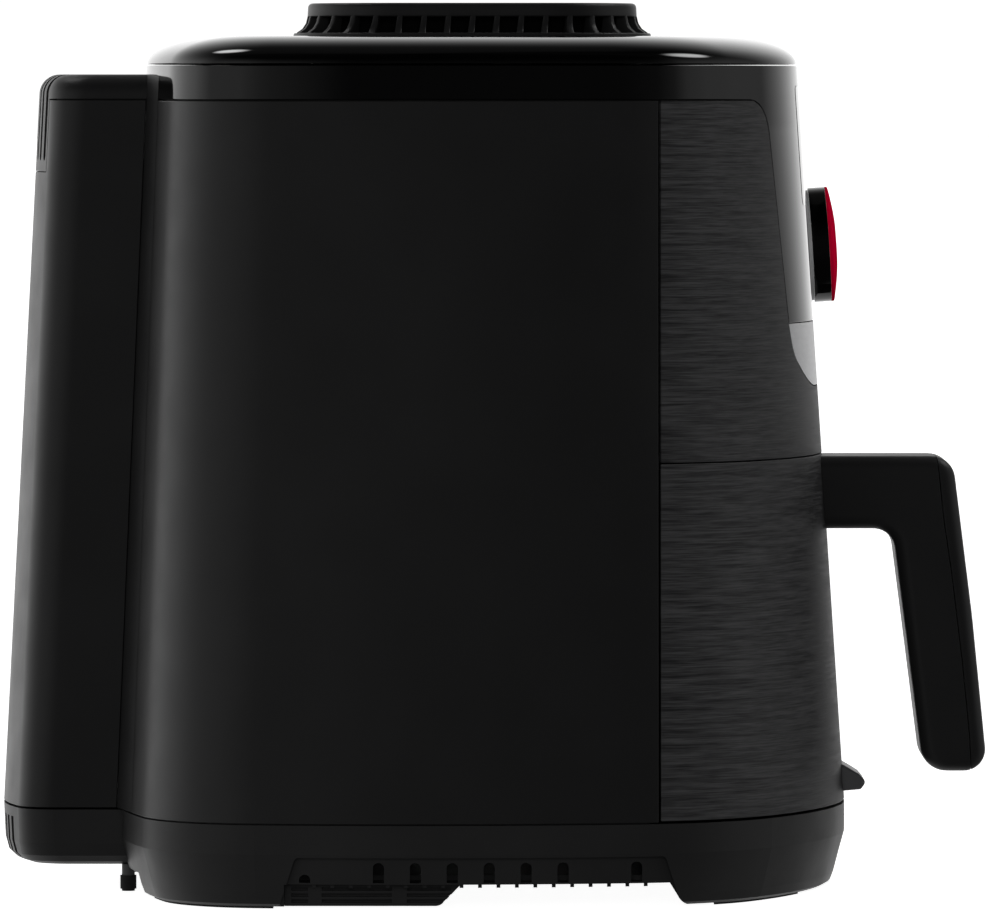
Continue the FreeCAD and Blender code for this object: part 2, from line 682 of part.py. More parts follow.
def cooking_chamber():
    chamber = chamber_block(0, CHAMBER_FLOOR, CHAMBER_TOP)
    chamber = chamber.cut(chamber_block(SHEET, CHAMBER_FLOOR + SHEET, CHAMBER_TOP - SHEET))
    mouth = CHAMBER_HALF_WIDTH - SHEET
    chamber = chamber.cut(box(-mouth, mouth, CHAMBER_FRONT - 1, CHAMBER_FRONT + 8,
                              CHAMBER_FLOOR + SHEET, SEAM_DRAWER - 2))
    chamber = chamber.cut(box(-40.5, 40.5, CHAMBER_REAR - 5, CHAMBER_REAR + 1, 173.5, 198.5))
    return chamber.cut(rod(9, V(0, FAN_Y, 200), V(0, FAN_Y, 215))).cut(element_holes(4.4, 200, 215))


def heat_shield():
    """Steel sheet round the chamber's sides and back."""
    half, rear = CHAMBER_HALF_WIDTH + 2.8, CHAMBER_REAR + 2.8
    outer = ruled([rounded_rectangle(half, -48, rear, z, 1, 42) for z in (42, 168)])
    inner = ruled([rounded_rectangle(half - 0.8, -60, rear - 0.8, z, 1, 41.2) for z in (41, 169)])
    return outer.cut(inner)


def front_frame():
    """Moulded frame round the drawer's opening, with a soffit under the upper fascia."""
    frame = body_loft(SEAM_BASE + 1, SEAM_DRAWER + 3, WALL + 0.1)
    soffit = frame.common(box(-FAR, FAR, -FAR, -57.2, SEAM_DRAWER + 0.6, FAR))
    frame = frame.common(box(-FAR, FAR, -59.6, -57.2, 0, FAR))
    frame = frame.cut(box(-112.6, 112.6, -70, -50, CHAMBER_FLOOR + SHEET, SEAM_DRAWER - 3))
    return frame.fuse(soffit)


def drawer_rails():
    rail = box(109.4, CHAMBER_HALF_WIDTH - SHEET, -50, 74, 144, 149.3)
    return both_sides(rail.cut(box(100, 111.4, -60, 90, 140, 147.6)))


def heat_reflector():
    """Dish above the heating element."""
    dish = tube(82, 12, V(0, FAN_Y, 204.4), V(0, FAN_Y, 205.2))
    lip = tube(82, 81.2, V(0, FAN_Y, 196), V(0, FAN_Y, 205.2))
    return dish.fuse(lip).cut(element_holes(4.4, 190, 210))


def heating_element():
    """Tubular heater: two near-full rings joined at one side of the gap, with upright terminals."""
    pieces = []
    for radius in ELEMENT_RADII:
        ring = Part.makeTorus(radius, ELEMENT_ROD, V(0, 0, 0), V(0, 0, 1), 0, 360, 360 - 2 * ELEMENT_GAP)
        ring.rotate(V(0, 0, 0), V(0, 0, 1), 90 + ELEMENT_GAP)
        ring.translate(V(0, FAN_Y, ELEMENT_Z))
        pieces.append(ring)
        foot = element_point(radius, 1, ELEMENT_Z)
        pieces += [rod(ELEMENT_ROD, foot, element_point(radius, 1, 215)), Part.makeSphere(ELEMENT_ROD, foot)]
        pieces.append(Part.makeSphere(ELEMENT_ROD, element_point(radius, -1, ELEMENT_Z)))
    pieces.append(rod(ELEMENT_ROD, *[element_point(radius, -1, ELEMENT_Z) for radius in ELEMENT_RADII]))
    first, *others = pieces
    return first.multiFuse(others)


def element_clips():
    """Three bent straps that hang the heater from the reflector."""
    clips = []
    for angle in (30, 150, 270):
        arm = box(51.5, 80.5, -3, 3, ELEMENT_Z - 4.4, ELEMENT_Z - 3.4)
        arm = arm.fuse(box(64, 65, -3, 3, ELEMENT_Z - 4.4, 204.4)).fuse(box(60, 65, -3, 3, 203.4, 204.4))
        arm.rotate(V(0, 0, 0), V(0, 0, 1), angle)
        arm.translate(V(0, FAN_Y, 0))
        clips.append(arm)
    return Part.makeCompound(clips)


def element_guard():
    """Wire guard under the heater: concentric rings on spokes, hung from the chamber's roof."""
    wire = 1.2
    centre = V(0, FAN_Y, GUARD_Z)
    below = V(0, 0, -1.5)                    # the spokes lie just under the rings
    pieces = [Part.makeTorus(radius, wire, centre, V(0, 0, 1)) for radius in (18, 38, 58, 78)]
    pieces.append(rod(7, centre + V(0, 0, -2.6), centre + V(0, 0, -0.6)))
    for angle in range(0, 360, 45):
        reach = 86.0 if angle % 90 else 82.0
        spoke = V(math.cos(math.radians(angle)), math.sin(math.radians(angle)), 0)
        pieces.append(rod(wire, centre + below + spoke * 5, centre + below + spoke * reach))
        if angle % 90:
            foot = centre + below + spoke * (reach - 1.0)
            pieces.append(rod(wire + 0.2, foot, V(foot.x, foot.y, CHAMBER_TOP - SHEET)))
    first, *others = pieces
    return first.multiFuse(others)


def temperature_sensor():
    """Probe through the chamber's roof with a hexagonal shoulder."""
    probe = rod(2.4, SENSOR + V(0, 0, 186), SENSOR + V(0, 0, 214))
    shoulder = rod(5, SENSOR + V(0, 0, CHAMBER_TOP), SENSOR + V(0, 0, CHAMBER_TOP + 2.5))
    return fused([probe, shoulder, Part.makeSphere(2.4, SENSOR + V(0, 0, 186))])


def thermal_fuse():
    """Cut-out in a saddle on the chamber's roof."""
    body = rod(3.0, V(-70, 70, 212), V(-70, 92, 212))
    saddle = box(-76, -64, 76, 86, CHAMBER_TOP, 210.0).fuse(box(-74, -66, 78, 84, 209, 212))
    leads = rod(0.7, V(-70, 62, 212), V(-70, 100, 212))
    return fused([body, saddle, leads])


# ---- fan drive --------------------------------------------------------------------------
MOTOR_PLATE_Z = 238.0
STATOR = (242.0, 258.0)
BEARINGS = ((236.0, 240.0), (262.0, 266.0))
BEARING_RADIUS = 8.0
POST_RADIUS = 66.0


def fan_point(z):
    return V(0, FAN_Y, z)


def around_fan(shape, angles):
    copies = []
    for angle in angles:
        copy = shape.copy()
        copy.rotate(fan_point(0), V(0, 0, 1), angle)
        copies.append(copy)
    return copies


def motor_bracket():
    """Plate on four posts over the chamber, with a bridge that holds the upper bearing."""
    plate = tube(POST_RADIUS + 5, BEARING_RADIUS, fan_point(MOTOR_PLATE_Z - 1), fan_point(MOTOR_PLATE_Z + 1))
    post = rod(3.5, V(POST_RADIUS, FAN_Y, CHAMBER_TOP), V(POST_RADIUS, FAN_Y, MOTOR_PLATE_Z - 1))
    window = rod(9, V(40, FAN_Y, MOTOR_PLATE_Z - 2), V(40, FAN_Y, MOTOR_PLATE_Z + 2))
    passages = [rod(4.6, V(x, y, MOTOR_PLATE_Z - 2), V(x, y, MOTOR_PLATE_Z + 2)) for x, y in board_corners()]
    plate = plate.cut(Part.makeCompound(around_fan(window, range(45, 360, 90)) + passages))
    bridge = box(-40, 40, FAN_Y - 11, FAN_Y + 11, 263, 265)
    legs = [box(x, x + 2, FAN_Y - 11, FAN_Y + 11, MOTOR_PLATE_Z + 1, 265) for x in (-40, 38)]
    bridge = bridge.fuse(legs).cut(rod(BEARING_RADIUS, fan_point(260), fan_point(270)))
    return fused([plate, bridge] + around_fan(post, range(45, 360, 90)))


def motor_stator():
    """Laminated core round the rotor with one coil on each side."""
    z0, z1 = STATOR
    core = box(-30, 30, FAN_Y - 24, FAN_Y + 24, z0, z1).cut(rod(13.5, fan_point(z0 - 1), fan_point(z1 + 1)))
    for side in (-1, 1):
        core = core.cut(box(-20, 20, FAN_Y + side * 17.5 - 1.5, FAN_Y + side * 17.5 + 1.5, z0 - 1, z1 + 1))
    feet = [rod(3, V(x, FAN_Y + y, MOTOR_PLATE_Z + 1), V(x, FAN_Y + y, z0)) for x in (-25, 25) for y in (-19, 19)]
    return fused([core] + feet)


def stator_coils():
    z0, z1 = STATOR
    coils = []
    for side in (-1, 1):
        y = FAN_Y + side * 21.2
        coil = plan_prism([(-14, y - 6.4, 3), (14, y - 6.4, 3), (14, y + 6.4, 3), (-14, y + 6.4, 3)],
                          z0 - 2.4, z1 + 2.4)
        coils.append(coil.cut(box(-15, 15, y - 2.3, y + 2.9, z0 - 0.01, z1 + 0.01)))
    return Part.makeCompound(coils).cut(motor_stator()).cut(rod(13.6, fan_point(200), fan_point(290)))


def motor_bearings():
    rings = [tube(BEARING_RADIUS, SHAFT_RADIUS + FIT, fan_point(z0), fan_point(z1)) for z0, z1 in BEARINGS]
    return Part.makeCompound(rings)


def motor_rotor():
    return tube(13.0, SHAFT_RADIUS, fan_point(STATOR[0]), fan_point(STATOR[1]))


def motor_shaft():
    return rod(SHAFT_RADIUS, fan_point(184), fan_point(270))


def motor_screws():
    screws = [screw(V(x, FAN_Y + y, MOTOR_PLATE_Z + 1), V(x, FAN_Y + y, MOTOR_PLATE_Z - 1))
              for x in (-25, 25) for y in (-19, 19)]
    return Part.makeCompound(screws).cut(motor_bracket())


def bladed_fan(hub, tip, z0, z1, blades, plate):
    """Radial fan: swept blades on a round plate."""
    wheel = tube(tip, SHAFT_RADIUS, fan_point(z1 - plate), fan_point(z1))
    boss = tube(hub, SHAFT_RADIUS, fan_point(z0), fan_point(z1))
    blade = box(hub - 1, tip - 1, FAN_Y - 0.6, FAN_Y + 0.6, z0 + 1, z1 - plate / 2)
    blade.rotate(V(hub, FAN_Y, 0), V(0, 0, 1), 18)
    trim = rod(tip, fan_point(z0), fan_point(z1))
    step = 360.0 / blades
    turned = [b.common(trim) for b in around_fan(blade, [i * step for i in range(blades)])]
    first, *others = [wheel, boss] + turned
    return first.multiFuse(others)


def cooking_fan():
    return bladed_fan(9, 48, 189, 202, 12, 1.0)


def cooling_fan():
    return bladed_fan(10, 50, 221, 232, 16, 1.6)


def fan_nut():
    """Dome nut under the cooking fan."""
    corners = [(8 * math.cos(math.radians(60 * i)), FAN_Y + 8 * math.sin(math.radians(60 * i)), 0)
               for i in range(6)]
    nut = plan_prism(corners, 182.4, 189).common(rod(7.6, fan_point(182), fan_point(190)))
    return nut.cut(rod(SHAFT_RADIUS, fan_point(184), fan_point(190)))


# ---- electronics ------------------------------------------------------------------------
BOARD = (-48.0, 48.0, 62.0, 108.0, 272.0)    # x, y and z of the power board


def power_board():
    x0, x1, y0, y1, z = BOARD
    board = box(x0, x1, y0, y1, z, z + 1.6)
    parts = [box(-38, -24, 68, 84, z + 1, z + 15), box(-18, -2, 68, 80, z + 1, z + 13),
             box(6, 34, 70, 92, z + 1, z + 18), box(-38, -10, 90, 99, z + 1, z + 8)]
    parts += [rod(r, V(x, y, z + 1), V(x, y, z + h)) for x, y, r, h in
              ((40, 76, 4, 14), (40, 88, 4, 14), (34, 97, 3, 10), (0, 96, 5, 9))]
    holes = [rod(1.6, V(x, y, z - 1), V(x, y, z + 3)) for x, y in board_corners()]
    return fused([board] + parts).cut(Part.makeCompound(holes))


def board_corners():
    x0, x1, y0, y1, _ = BOARD
    return [(x, y) for x in (x0 + 5, x1 - 5) for y in (y0 + 5, y1 - 5)]


def board_pillars():
    """Pillars that carry the power board above the chamber's roof."""
    z = BOARD[4]
    pillars = [tube(4, 1.6, V(x, y, CHAMBER_TOP), V(x, y, z)) for x, y in board_corners()]
    return Part.makeCompound(pillars)


def board_screws():
    z = BOARD[4] + 1.6
    return Part.makeCompound([screw(V(x, y, z - 12), V(x, y, z)) for x, y in board_corners()])


def safety_switch():
    """Switch on the frame that the drawer's tongue reaches; its lever is drawn pressed."""
    case = box(119.2, 123.6, -57.2, -44, 120, 136).fuse(box(119.2, 123.6, -57.2, -54.2, 116, 140))
    return case.fuse(box(120.4, 122.4, -51, -49.6, 136, 138.5)).common(body_loft(100, 150, WALL + 0.3))


# ---- dial -------------------------------------------------------------------------------
ENCODER_SLEEVE = 4.5
DIAL_BACK = 1.0
BARREL_SIDE = 6.6
BARREL_TOP = 7.76
RING_RADIUS = 20.6
CAP_RADIUS = 9.0


def encoder_body():
    """Square encoder behind the bezel with a bush that the sleeve slides in."""
    case = box(-7.5, 7.5, -7.5, 7.5, -19, -13.1)
    bush = rod(6.6, V(0, 0, -13.1), V(0, 0, -2.6))
    return on_panel(case.fuse(bush).cut(rod(ENCODER_SLEEVE + FIT, V(0, 0, -17), V(0, 0, 0))))


def encoder_sleeve():
    return on_panel(tube(ENCODER_SLEEVE, 3 + FIT, V(0, 0, -14.5), V(0, 0, 0.6)))


def dial_shaft():
    return on_panel(rod(3, V(0, 0, -12.5), V(0, 0, 6.2)).fuse(rod(2.2, V(0, 0, -14.4), V(0, 0, -12.5))))


def dial_knob():
    """Gloss barrel with a stepped nose that carries the ring and the centre cap."""
    skirt = rod(DIAL_RADIUS, V(0, 0, DIAL_BACK), V(0, 0, BARREL_SIDE))
    shoulder = revolved([(4, BARREL_SIDE), (DIAL_RADIUS, BARREL_SIDE), (RING_RADIUS, BARREL_TOP, (21.25, 7.35)),
                         (4, BARREL_TOP)])
    nose = rod(CAP_RADIUS + 0.1, V(0, 0, BARREL_SIDE - 0.2), V(0, 0, DIAL_DEPTH - 1.4))
    hollow = tube(DIAL_RADIUS - 1.8, 6, V(0, 0, DIAL_BACK - 1), V(0, 0, BARREL_SIDE - 1.1))
    return on_panel(fused([skirt, shoulder, nose]).cut(hollow).cut(rod(3, V(0, 0, 0), V(0, 0, 6.2))))


def revolved(points):
    """Solid of revolution about Z from (radius, z) points, with arcs where a third item is given."""
    edges = []
    for (r0, z0, *_), (r1, z1, *middle) in zip(points, points[1:] + points[:1]):
        start, end = V(r0, 0, z0), V(r1, 0, z1)
        if middle:
            edges.append(Part.Arc(start, V(middle[0][0], 0, middle[0][1]), end).toShape())
        else:
            edges.append(Part.LineSegment(start, end).toShape())
    return Part.Face(Part.Wire(edges)).revolve(V(0, 0, 0), V(0, 0, 1), 360)


def dial_ring():
    """Domed ring that covers the dial's front round the centre cap."""
    inner = CAP_RADIUS + 0.1
    return on_panel(revolved([(inner, BARREL_TOP), (RING_RADIUS, BARREL_TOP),
                              (inner, DIAL_DEPTH, (15.1, 9.27))]))


def dial_cap():
    """Shallow dished centre of the dial."""
    low, high, dish = DIAL_DEPTH - 1.4, DIAL_DEPTH - 0.25, 0.4
    sphere = (CAP_RADIUS ** 2 + dish ** 2) / (2 * dish)
    disc = rod(CAP_RADIUS, V(0, 0, low), V(0, 0, high))
    return on_panel(disc.cut(Part.makeSphere(sphere, V(0, 0, high - dish + sphere))))


# ---- drawer -----------------------------------------------------------------------------
DRAWER_BOTTOM = SEAM_BASE + GAP
DRAWER_TOP = SEAM_DRAWER - GAP / 2
SKIN = 1.3
HANDLE_SCREWS = [(x, z) for x in (-11.0, 11.0) for z in (141.0, 153.0)]
POT_SCREWS = [(x, z) for x in (-38.0, 38.0) for z in (70.0, 125.0)]
BULKHEAD = (POT_FRONT - 3.5, POT_FRONT)


def drawer_front():
    """Brushed steel skin of the drawer."""
    skin = body_skin(DRAWER_BOTTOM, DRAWER_TOP, 0, SKIN).common(FRONT_HALF)
    return skin.cut(handle_screw_holes())


def handle_screw_holes():
    return Part.makeCompound([rod(2.1, V(x, -FAR, z), V(x, -90, z)) for x, z in HANDLE_SCREWS])


def drawer_backing():
    """Moulded carrier behind the skin, open below, with the bulkhead that holds the pot."""
    y0, y1 = BULKHEAD
    shell = body_skin(DRAWER_BOTTOM + 0.5, DRAWER_TOP - 0.5, SKIN, SKIN + 2.7).common(FRONT_HALF)
    filling = body_loft(DRAWER_BOTTOM + 0.5, DRAWER_TOP - 0.5, SKIN + 1)
    bulkhead = filling.common(box(-FAR, FAR, y0, y1, 0, FAR))
    roof = filling.common(box(-FAR, FAR, -FAR, y1, DRAWER_TOP - 3, FAR))
    holes = [rod(1.6, V(x, -110, z), V(x, -90, z)) for x, z in POT_SCREWS]
    access = [rod(4.2, V(x, y0 - 1, z), V(x, y1 + 1, z)) for x, z in HANDLE_SCREWS]
    backing = shell.fuse([bulkhead, roof]).cut(Part.makeCompound(holes + access))
    return backing.cut(handle_screw_holes())


def pot_wire(z, inset=0.0):
    lean = DRAFT * (POT_RIM - z) / (POT_RIM - POT_FLOOR)
    front = POT_FRONT + lean + inset
    return rounded_rectangle(POT_HALF_WIDTH - lean - inset, front, POT_REAR - lean - inset, z,
                             POT_FRONT_CORNER - inset, 34 - inset)


def drawer_pot():
    """Coated pot with a rolled rim that runs on the rails."""
    levels = [(POT_FLOOR, 6.0), (POT_FLOOR + 1.8, 2.4), (POT_FLOOR + 6, 0.0), (POT_RIM, 0.0)]
    outer = ruled([pot_wire(z, inset) for z, inset in levels])
    inner = ruled([pot_wire(z + (POT_WALL if z < 60 else 1), inset + POT_WALL) for z, inset in levels])
    rim = ruled([rounded_rectangle(111.6, POT_FRONT, POT_REAR + 3, z, POT_FRONT_CORNER + 3, 37)
                 for z in (POT_RIM - 1.4, POT_RIM)])
    pot = outer.fuse(rim).cut(inner)
    return pot.cut(Part.makeCompound([rod(1.6, V(x, -110, z), V(x, -90, z)) for x, z in POT_SCREWS]))


def pot_screws():
    return Part.makeCompound([screw(V(x, POT_FRONT + 6, z), V(x, BULKHEAD[0], z)) for x, z in POT_SCREWS])


def drawer_rest_lip():
    """Small curved lip under the handle."""
    profile = [(-124, 45.6, 0), (-130.4, 44.8, 2), (-136.4, 41.2, 4), (-139.1, 38.2, 1.8), (-137.0, 35.4, 1.4),
               (-124, 34.8, 0)]
    half = 15.0
    lip = side_prism(profile, -half, half).cut(body_loft(20, 70, 0))
    ends = [edge for edge in lip.Edges if abs(edge.BoundBox.XMin) > half - 0.1
            and abs(edge.BoundBox.XMax) > half - 0.1 and edge.BoundBox.YMax < -131.5]
    return lip.makeFillet(1.2, ends) if ends else lip


def handle_block(end_y):
    """Hooked grip: an arm out of the drawer's top and a grip that hangs down from it."""
    profile = [(end_y, HANDLE_TOP, 0), (-171.1, HANDLE_TOP, 9), (-178.6, 100.5, 400), (-184.4, HANDLE_BOTTOM, 8),
               (-160.2, HANDLE_BOTTOM, 10), (-153.4, 96.0, 400), (-148.6, HANDLE_ARM_BOTTOM, 8),
               (end_y, HANDLE_ARM_BOTTOM, 0)]
    block = side_prism(profile, -HANDLE_HALF_WIDTH, HANDLE_HALF_WIDTH)
    flanks = [edge for edge in block.Edges
              if abs(abs(edge.BoundBox.XMin) - HANDLE_HALF_WIDTH) < 0.01
              and abs(edge.BoundBox.XLength) < 0.01 and edge.BoundBox.YMin < end_y - 0.01]
    return block.makeFillet(5.0, flanks)


def cover_region(shift):
    """Side outline of the strip that covers the handle's outer face."""
    seam = [(-164.1, 165), (-165.6, 156), (-167.6, 136.5), (-170.5, 117), (-174.7, 82.5), (-177.3, 56), (-178.4, 35)]
    corners = [(y - shift, z, 3 if 0 < i < len(seam) - 1 else 0) for i, (y, z) in enumerate(seam)]
    return side_prism(corners + [(-200, 35, 0), (-200, 165, 0)], -FAR, FAR)


def handle_core():
    core = handle_block(-112).cut(body_loft(100, 170, 0)).cut(cover_region(0))
    return core.cut(Part.makeCompound([rod(1.6, V(x, -140, z), V(x, -100, z)) for x, z in HANDLE_SCREWS]))


def handle_cover():
    return handle_block(-112).common(cover_region(0.3))


def handle_screws():
    """Screws from inside the drawer front into the handle's arm."""
    screws = []
    for x, z in HANDLE_SCREWS:
        seat = front_y(z) + x ** 2 / (2 * FRONT_RADIUS) + SKIN + 3.1
        screws.append(screw(V(x, -138, z), V(x, seat, z)))
    return Part.makeCompound(screws)


def plate_wire(z, inset=0.0):
    return rounded_rectangle(96 - inset, -88 + inset, 93 - inset, z, 42 - inset, 24 - inset)


def crisper_plate():
    """Perforated plate with an upturned edge that lies in the pot on its corner bumpers."""
    edge = ruled([plate_wire(z) for z in (47.0, 52.0)]).cut(ruled([plate_wire(z, 1.2) for z in (46, 53)]))
    plate = ruled([plate_wire(z) for z in (47.0, 48.4)]).fuse(edge)
    pitch, reach = 13.0, 6
    holes = [rod(9, V(0, 1.5, 46), V(0, 1.5, 50))]
    for i in range(-reach, reach + 1):
        for j in range(-reach, reach + 1):
            if (i or j) and not abs(i) == abs(j) == reach:
                holes.append(rod(3.4, V(i * pitch, 1.5 + j * pitch, 46), V(i * pitch, 1.5 + j * pitch, 50)))
    return plate.cut(Part.makeCompound(holes))


def plate_bumpers():
    """Silicone feet at the plate's corners."""
    feet = []
    for y in (-70.0, 74.0):
        foot = V(78, y, POT_FLOOR + POT_WALL + 0.2)
        feet.append(rod(5, foot, V(78, y, 47.0)))
    return both_sides(Part.makeCompound(feet))


PIECES = [base_tray, base_screws, foot_pads, rear_foot_posts, rear_foot_tips,
          louvre_blocks, cord_gland, outer_shell, front_fascia, top_bezel, chin_trim, display_lens,
          display_board, lid_cover, intake_crown, crown_cap, rear_duct_cover, rear_duct_cap,
          duct_fairings, exhaust_duct, cooking_chamber, heat_shield, front_frame, drawer_rails,
          heat_reflector, heating_element, element_clips, element_guard, temperature_sensor,
          thermal_fuse, motor_bracket, motor_stator, stator_coils, motor_bearings, motor_screws,
          motor_rotor, motor_shaft, cooking_fan, cooling_fan, fan_nut, power_board, board_pillars,
          board_screws, safety_switch, encoder_body, encoder_sleeve, dial_shaft, dial_knob, dial_ring,
          dial_cap, drawer_front, drawer_backing, drawer_pot, pot_screws, drawer_rest_lip,
          handle_core, handle_cover, handle_screws, crisper_plate, plate_bumpers]


def main():
    os.makedirs("parts", exist_ok=True)
    for piece in PIECES:
        shape = piece()
        shape.exportStep("parts/" + piece.__name__ + ".step")
        print(piece.__name__, len(shape.Solids), "solids", round(shape.Volume), "mm3",
              "" if shape.isValid() else "INVALID", flush=True)


main()
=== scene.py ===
"""Looks of the drawer-type air fryer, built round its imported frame.

Shapes are in millimetres in the frame's axes (+Z up, front towards -Y) and become metres where a
mesh is made; materials, lights and the camera are in metres. Angles on an outline are those of its
outward normal, from -Y to +X.
"""
import json
import math

import bmesh
import bpy
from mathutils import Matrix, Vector


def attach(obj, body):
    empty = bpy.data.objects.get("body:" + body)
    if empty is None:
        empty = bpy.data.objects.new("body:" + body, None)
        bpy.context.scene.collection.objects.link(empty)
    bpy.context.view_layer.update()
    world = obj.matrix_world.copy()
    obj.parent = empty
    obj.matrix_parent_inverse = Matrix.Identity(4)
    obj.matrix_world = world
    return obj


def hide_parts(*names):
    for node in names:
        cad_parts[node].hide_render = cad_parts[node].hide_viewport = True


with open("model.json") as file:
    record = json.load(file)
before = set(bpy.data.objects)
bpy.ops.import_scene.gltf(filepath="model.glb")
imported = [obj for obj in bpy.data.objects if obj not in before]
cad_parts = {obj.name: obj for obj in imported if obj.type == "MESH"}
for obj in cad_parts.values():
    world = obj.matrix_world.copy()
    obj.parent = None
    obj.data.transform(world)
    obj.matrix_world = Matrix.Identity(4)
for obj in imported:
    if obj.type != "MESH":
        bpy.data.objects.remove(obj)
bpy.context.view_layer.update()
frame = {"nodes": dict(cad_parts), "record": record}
MM = 0.001

# ---- housing, as in the frame -------------------------------------------------------------
SEAM_BASE, SEAM_DRAWER, SEAM_TOP, SEAM_LID = 31.0, 161.5, 293.5, 306.5
LID_TOP, CROWN_RIB_TOP, CROWN_TOP = 317.0, 324.3, 329.4
GAP = 0.5
BODY_FRONT, BODY_REAR, BODY_HALF_WIDTH = -131.2, 142.0, 142.0
APEX_Y, APEX_RISE = 36.8, 2549.0
PANEL_SEAM_Y = -60.0
AIR_WINDOW = (42.0, 66.0, 276.0)  # half width, bottom and top of the shell's opening to the duct
HOUSING_BACK_Y, DUCT_BACK_Y = 120.0, 150.0
DUCT_HALF_WIDTH, DUCT_REAR = (56.0, 52.0), (184.4, 170.8)
DUCT_REAR_RADIUS, DUCT_CORNER_RADIUS = 150.0, 14.0
DUCT_CAP_TOP, DUCT_ROLL, GRILLE_HALF_WIDTH, GRILLE_BOTTOM = 303.0, 7.5, 40.0, 267.0
GRILLE_PLACES = [(i - 4.5) * 8.0 for i in range(10)]
PANEL_GAP = 0.5                # either side of the joint between shell and front panels
LIP = [(296.5, 2.1), (294.4, 2.1), (293.2, 2.5), (289.5, 2.5)]  # (z, depth) behind the top seam
LID_EDGE_WIDTH = 27.0
CROWN_Y, CROWN_HALF, CROWN_FOOT_HALF, CROWN_OPENINGS = 8.5, 61.0, 66.6, 48
CROWN_CORNER, CROWN_RING_INSIDE, CROWN_FOOT_INSIDE = 33.0, 56.4, 58.0
DIAL_Z, DIAL_RADIUS, DIAL_DEPTH = 239.0, 21.5, 10.4
CHIN_BOTTOM, CHIN_TOP, PANEL_HALF_WIDTH = 187.3, 211.0, 59.7
TONGUE_TOP_HALF_WIDTH, TONGUE_FLARE = 67.1, 13.0
LENS_HALF_WIDTH, LENS_BOTTOM, LENS_TOP, LENS_PROUD = 24.7, 254.3, 298.9, 0.13
HANDLE_HALF_WIDTH, HANDLE_TOP, HANDLE_ARM_BOTTOM, HANDLE_BOTTOM = 20.0, 160.5, 133.3, 42.5
HANDLE_FILLET = 5.0
# Joint between the handle's core and its outer cover, as (y, z)
COVER_SEAM = [(-164.1, 165.0), (-165.6, 156.0), (-167.6, 136.5), (-170.5, 117.0), (-174.7, 82.5),
              (-177.3, 56.0), (-178.4, 35.0)]
REST_LIP_HALF_WIDTH = 15.0


# ---- plan outlines ------------------------------------------------------------------------
def meeting_centre(c1, r1, c2, r2, towards):
    """Centre of a circle tangent inside two others; r1 and r2 are the centre distances."""
    line = c2 - c1
    along = (r1 ** 2 - r2 ** 2 + line.length_squared) / (2 * line.length)
    across = math.sqrt(r1 ** 2 - along ** 2)
    line.normalize()
    normal = Vector((-line.y, line.x))
    if normal.dot(towards) < 0:
        normal = -normal
    return c1 + line * along + normal * across


def normal_angle(direction):
    """Angle on the outline of a direction in plan."""
    return math.atan2(direction.x, -direction.y)


def body_arcs():
    """Arcs of half the housing's outline at the base seam: (centre, radius, first and last angle)."""
    front_r, front_corner_r, side_r, rear_corner_r, rear_r = 186.0, 75.0, 425.0, 50.0, 400.0
    front = Vector((0, BODY_FRONT + front_r))
    side = Vector((BODY_HALF_WIDTH - side_r, 30.0))
    rear = Vector((0, BODY_REAR - rear_r))
    front_corner = meeting_centre(front, front_r - front_corner_r, side, side_r - front_corner_r,
                                  Vector((1, -1)))
    rear_corner = meeting_centre(rear, rear_r - rear_corner_r, side, side_r - rear_corner_r,
                                 Vector((1, 1)))
    turns = [0.0, normal_angle(front_corner - front), normal_angle(front_corner - side),
             normal_angle(rear_corner - side), normal_angle(rear_corner - rear), math.pi]
    circles = [(front, front_r), (front_corner, front_corner_r), (side, side_r),
               (rear_corner, rear_corner_r), (rear, rear_r)]
    return [(c, r, a, b) for (c, r), a, b in zip(circles, turns, turns[1:])]


BODY_ARCS = body_arcs()
HALF_LENGTH = sum(r * (b - a) for _, r, a, b in BODY_ARCS)


def on_outline(s):
    """Point and outward normal at arc length s from the front middle, positive towards +X."""
    s = (s + HALF_LENGTH) % (2 * HALF_LENGTH) - HALF_LENGTH
    side, rest = (1 if s >= 0 else -1), abs(s)
    for centre, radius, first, last in BODY_ARCS:
        if rest <= radius * (last - first) + 1e-9:
            angle = first + rest / radius
            normal = Vector((math.sin(angle), -math.cos(angle)))
            point = centre + normal * radius
            return Vector((side * point.x, point.y)), Vector((side * normal.x, normal.y))
        rest -= radius * (last - first)
    return Vector((0, BODY_REAR)), Vector((0, 1))


def wrap(s, z, depth=0.0, outline_z=None):
    """Point on the tapered housing, `depth` inside its surface."""
    scale = 1 - ((z if outline_z is None else outline_z) - SEAM_BASE) / APEX_RISE
    point, normal = on_outline(s)
    return Vector((point.x * scale - normal.x * depth,
                   APEX_Y + (point.y - APEX_Y) * scale - normal.y * depth, z))


def find_s(wanted, z, axis, low, high):
    """Arc length between low and high where x (axis 0) or y (axis 1) reaches a value."""
    for _ in range(40):
        middle = (low + high) / 2
        if wrap(middle, z)[axis] < wanted:
            low = middle
        else:
            high = middle
    return low


def s_of_x(x, z):
    """Arc length on the front half where the housing reaches x at height z."""
    quarter = sum(r * (b - a) for _, r, a, b in BODY_ARCS[:2])
    return math.copysign(find_s(abs(x), z, 0, 0.0, quarter), x)


def s_of_y(y, z):
    """Arc length on the +X side where the housing reaches y at height z."""
    return find_s(y, z, 1, 0.0, HALF_LENGTH)


def front_y(z):
    """y of the front's middle line."""
    return wrap(0, z).y


# ---- mesh helpers -------------------------------------------------------------------------
def arc_steps(start, end, steps):
    """Evenly spaced values from start to end, both included."""
    return [start + (end - start) * i / steps for i in range(steps + 1)]


